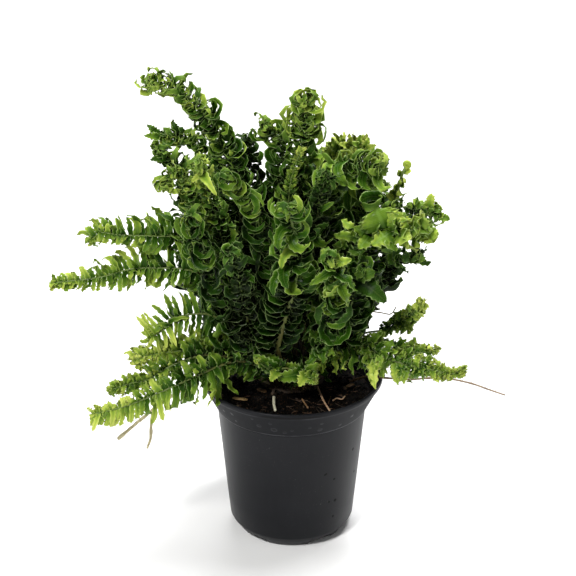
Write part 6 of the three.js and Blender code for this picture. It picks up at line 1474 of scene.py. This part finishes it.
# ---------------------------------------------------------------- stems, roots and sticks
def stem(name, mat, r0, r1, step=2.0, sides=8, wob=0.10, knots=0.0, hairs=0, extra=None, mats=()):
    g = np.random.default_rng(len(name) * 31 + ord(name[0]))
    S = Soup()
    C, L = spline(STEMS[name])
    s = np.linspace(0, L[-1], max(5, int(L[-1] / step)))
    P = at(C, L, s)
    r = r0 + (r1 - r0) * s / L[-1]
    if knots:
        r = r * (1 + knots * np.clip(np.sin(s / 4.1) - 0.75, 0, 1) * 4)
    tube_soup(S, P, r, sides, 0, wob)
    for n in range(hairs):
        q = g.uniform(0.05, 0.97) * L[-1]
        p0, T = at(C, L, q), along(C, L, q)
        d = unit(np.cross(T, g.normal(size=3)) + T * g.uniform(-0.3, 0.6))
        rr = r0 + (r1 - r0) * q / L[-1]
        ln = g.uniform(0.6, 1.6)
        tube_soup(S, [p0 + d * rr * 0.4, p0 + d * (rr + ln * 0.5), p0 + d * (rr + ln) + T * 0.3], [0.14, 0.11, 0.05], 4, len(mats) and 1)
    if extra:
        extra(S, C, L)
    return piece("stem_" + name, S.mesh("stem_" + name, [mat, *mats]), name)


def forks(S, C, L):
    Cf, Lf = spline(FORK)
    s = np.linspace(0, Lf[-1], max(5, int(Lf[-1] / 2)))
    tube_soup(S, at(Cf, Lf, s), (1.0 + (0.75 - 1.0) * s / Lf[-1]) * (1 + 0.45 * np.clip(np.sin(s / 2.3) - 0.2, 0, 1)), 7, 0, 0.20)


stem("runner_right", M_RUNNER, 0.65, 0.40, knots=0.25, hairs=26, mats=(M_DRY,))
stem("dead_stem_right", M_DRY, 0.60, 0.35, knots=0.2, hairs=14)
stem("dead_stem_left", M_DEAD, 0.75, 0.55, knots=0.25, hairs=20, mats=(M_CROWN,))
stem("dead_runner_left", M_CREAM, 1.15, 0.95, knots=0.35, hairs=34, wob=0.2, extra=forks)
stem("root_twig", M_ROOT, 0.60, 0.55, step=1.2, knots=0.2, hairs=3)
stem("stick_pale", M_PALE, 0.95, 0.85, step=1.0, wob=0.08)
stem("stick_small", M_CHIP, 0.55, 0.45, step=1.0, wob=0.14)
stem("root_curl", M_ROOT, 0.50, 0.40, step=0.8, wob=0.10)


# ---------------------------------------------------------------- unrolling young frond
def fiddlehead():
    g = np.random.default_rng(5)
    B = Builder()
    C, L = spline(STEMS["fiddlehead"])
    s = np.linspace(0, L[-1], 60)
    P = at(C, L, s)
    r = 0.9 + (0.85 - 0.9) * s / L[-1]
    tube(B, P, r, sides=8, m=1, uvbox=(0.02, 0.90, 0.98, 0.99))
    tv = np.concatenate([np.repeat(0.35 + 0.6 * s / L[-1], 8), [0.4, 0.95]])
    B.b[-1] = np.stack([np.full(len(tv), 0.9), tv, np.ones(len(tv))], -1)
    # the coil: two turns closing on themselves, seen flat from the front
    cx, cy, cz = COIL_AT
    end = P[-1]
    a0 = math.atan2(end[2] - cz, end[0] - cx)
    th = np.linspace(0, 2 * math.pi * 1.9, 70)
    rad = 2.15 - 1.75 * (th / th[-1]) ** 0.9
    coil = np.stack([cx + rad * np.cos(a0 + th), cy + 0.25 * np.sin(th * 0.5), cz + rad * np.sin(a0 + th)], -1)
    tube(B, coil, 1.10 - 0.35 * th / th[-1], sides=10, m=0, a=(0.5, 0.5, 0.6), uvbox=(0.02, 0.80, 0.98, 0.89))
    n = 70 * 10 + 2
    B.b[-1] = np.tile([0.78, 0.70, 1.0], (n, 1))
    # small folded leaflets, larger lower down
    sp = []
    q = L[-1] - 3
    while q > L[-1] - 52:
        sp.append(q)
        q -= 4.2
    sp = np.array(sp)
    sl = np.concatenate([sp, sp - 2.0])
    sg = np.concatenate([np.ones(len(sp)), -np.ones(len(sp))])
    T = along(C, L, sl)
    face = np.array([0.0, -0.9, 0.42])
    N = unit(face - T * (T @ face)[:, None])
    Bn = np.cross(T, N)
    Pn = len(sl)
    k = (L[-1] - sl) / 52
    e1 = unit(sg[:, None] * Bn * 0.8 + T * 0.55 + N * g.normal(0, 0.2, (Pn, 1)))
    Tp = unit(T - e1 * np.sum(T * e1, -1, keepdims=True))
    Np = unit(np.cross(e1, Tp))
    Np *= np.sign(np.sum(Np * N, -1, keepdims=True))
    leaflets(B, at(C, L, sl), e1, Np, Tp, 5.4 + 5.6 * k + g.uniform(-0.8, 0.8, Pn), 1.8 + 1.2 * k, g.uniform(-0.4, 0.2, Pn), g.uniform(1.4, 3.4, Pn), np.full(Pn, 1.1),
             g.uniform(-0.2, 0.7, Pn), g.normal(0, 0.3, Pn), np.full(Pn, 0.35), np.full(Pn, 0.14), g.normal(0, 0.1, Pn), g.normal(0.1, 0.2, Pn),
             np.full(Pn, 2.6), g.random(Pn), np.full(Pn, 0.80), 0.6 + 0.3 * (1 - k), np.ones(Pn, bool), 11, 5, np.arange(Pn), 9)
    return piece("fern_young_coil", B.mesh("fern_young_coil", [M_LEAF, M_STALK], uv=True), "fiddlehead")


fiddlehead()

# ---------------------------------------------------------------- bark chips
for name, (p, ln, wd, turn) in CHIPS.items():
    g = np.random.default_rng(ord(name[-1]) + 3)
    S = Soup()
    vv, ff = ICO[2]
    sup = np.sign(vv) * np.abs(vv) ** np.array([0.8, 0.7, 0.5])
    vv = sup * np.array([ln / 2, wd / 2, 0.42]) * (1 + g.uniform(-0.10, 0.10, len(vv)))[:, None]
    vv[:, 2] += 0.10 * np.sin(vv[:, 0] * 1.4)
    t = math.radians(turn)
    R = np.array([[math.cos(t), -math.sin(t), 0], [math.sin(t), math.cos(t), 0], [0, 0, 1]])
    S.add(vv @ R.T + np.array(p) + np.array([0, 0, 0.45]), ff, 0)
    piece(name + "_real", S.mesh(name, [M_CHIP_PALE if name.endswith("left") else M_CHIP]), name)

# ---------------------------------------------------------------- floor and light
fm = bpy.data.meshes.new("floor")
fm.from_pydata([(-6, -6, 0), (6, -6, 0), (6, 6, 0), (-6, 6, 0)], [], [(0, 1, 2, 3)])
floor = bpy.data.objects.new("floor", fm)
scene.collection.objects.link(floor)
sf = Shader("pale_floor")
sf.put(sf.bsdf.inputs["Base Color"], sf.ramp(sf.noise(3, 2), [(0.3, (0.90, 0.90, 0.90)), (0.7, (0.93, 0.93, 0.93))]))
sf.set(Roughness=0.7)
fm.materials.append(sf.mat)


def area(name, loc, target, size, energy, col=(1, 1, 1)):
    d = bpy.data.lights.new(name, "AREA")
    d.shape = "DISK"
    d.size = size
    d.energy = energy
    d.color = col
    o = bpy.data.objects.new(name, d)
    scene.collection.objects.link(o)
    o.location = loc
    o.rotation_euler = (Vector(target) - Vector(loc)).to_track_quat("-Z", "Y").to_euler()
    return o


area("key", (-0.75, -1.15, 1.55), (0, 0, 0.15), 0.40, 33, (1.0, 0.995, 0.98))
area("top", (0.35, 0.25, 1.7), (0, 0, 0.15), 0.8, 32)
area("fill", (1.2, -0.9, 0.7), (0, 0, 0.15), 1.0, 3)
area("back", (0.1, 1.9, 2.4), (0, 1.6, 0), 1.6, 42)
world = bpy.data.worlds.new("studio")
scene.world = world
world.use_nodes = True
bg = world.node_tree.nodes["Background"]
bg.inputs[0].default_value = (1, 1, 1, 1)
bg.inputs[1].default_value = 0.14
scene.view_settings.view_transform = "Standard"
scene.view_settings.look = "None"
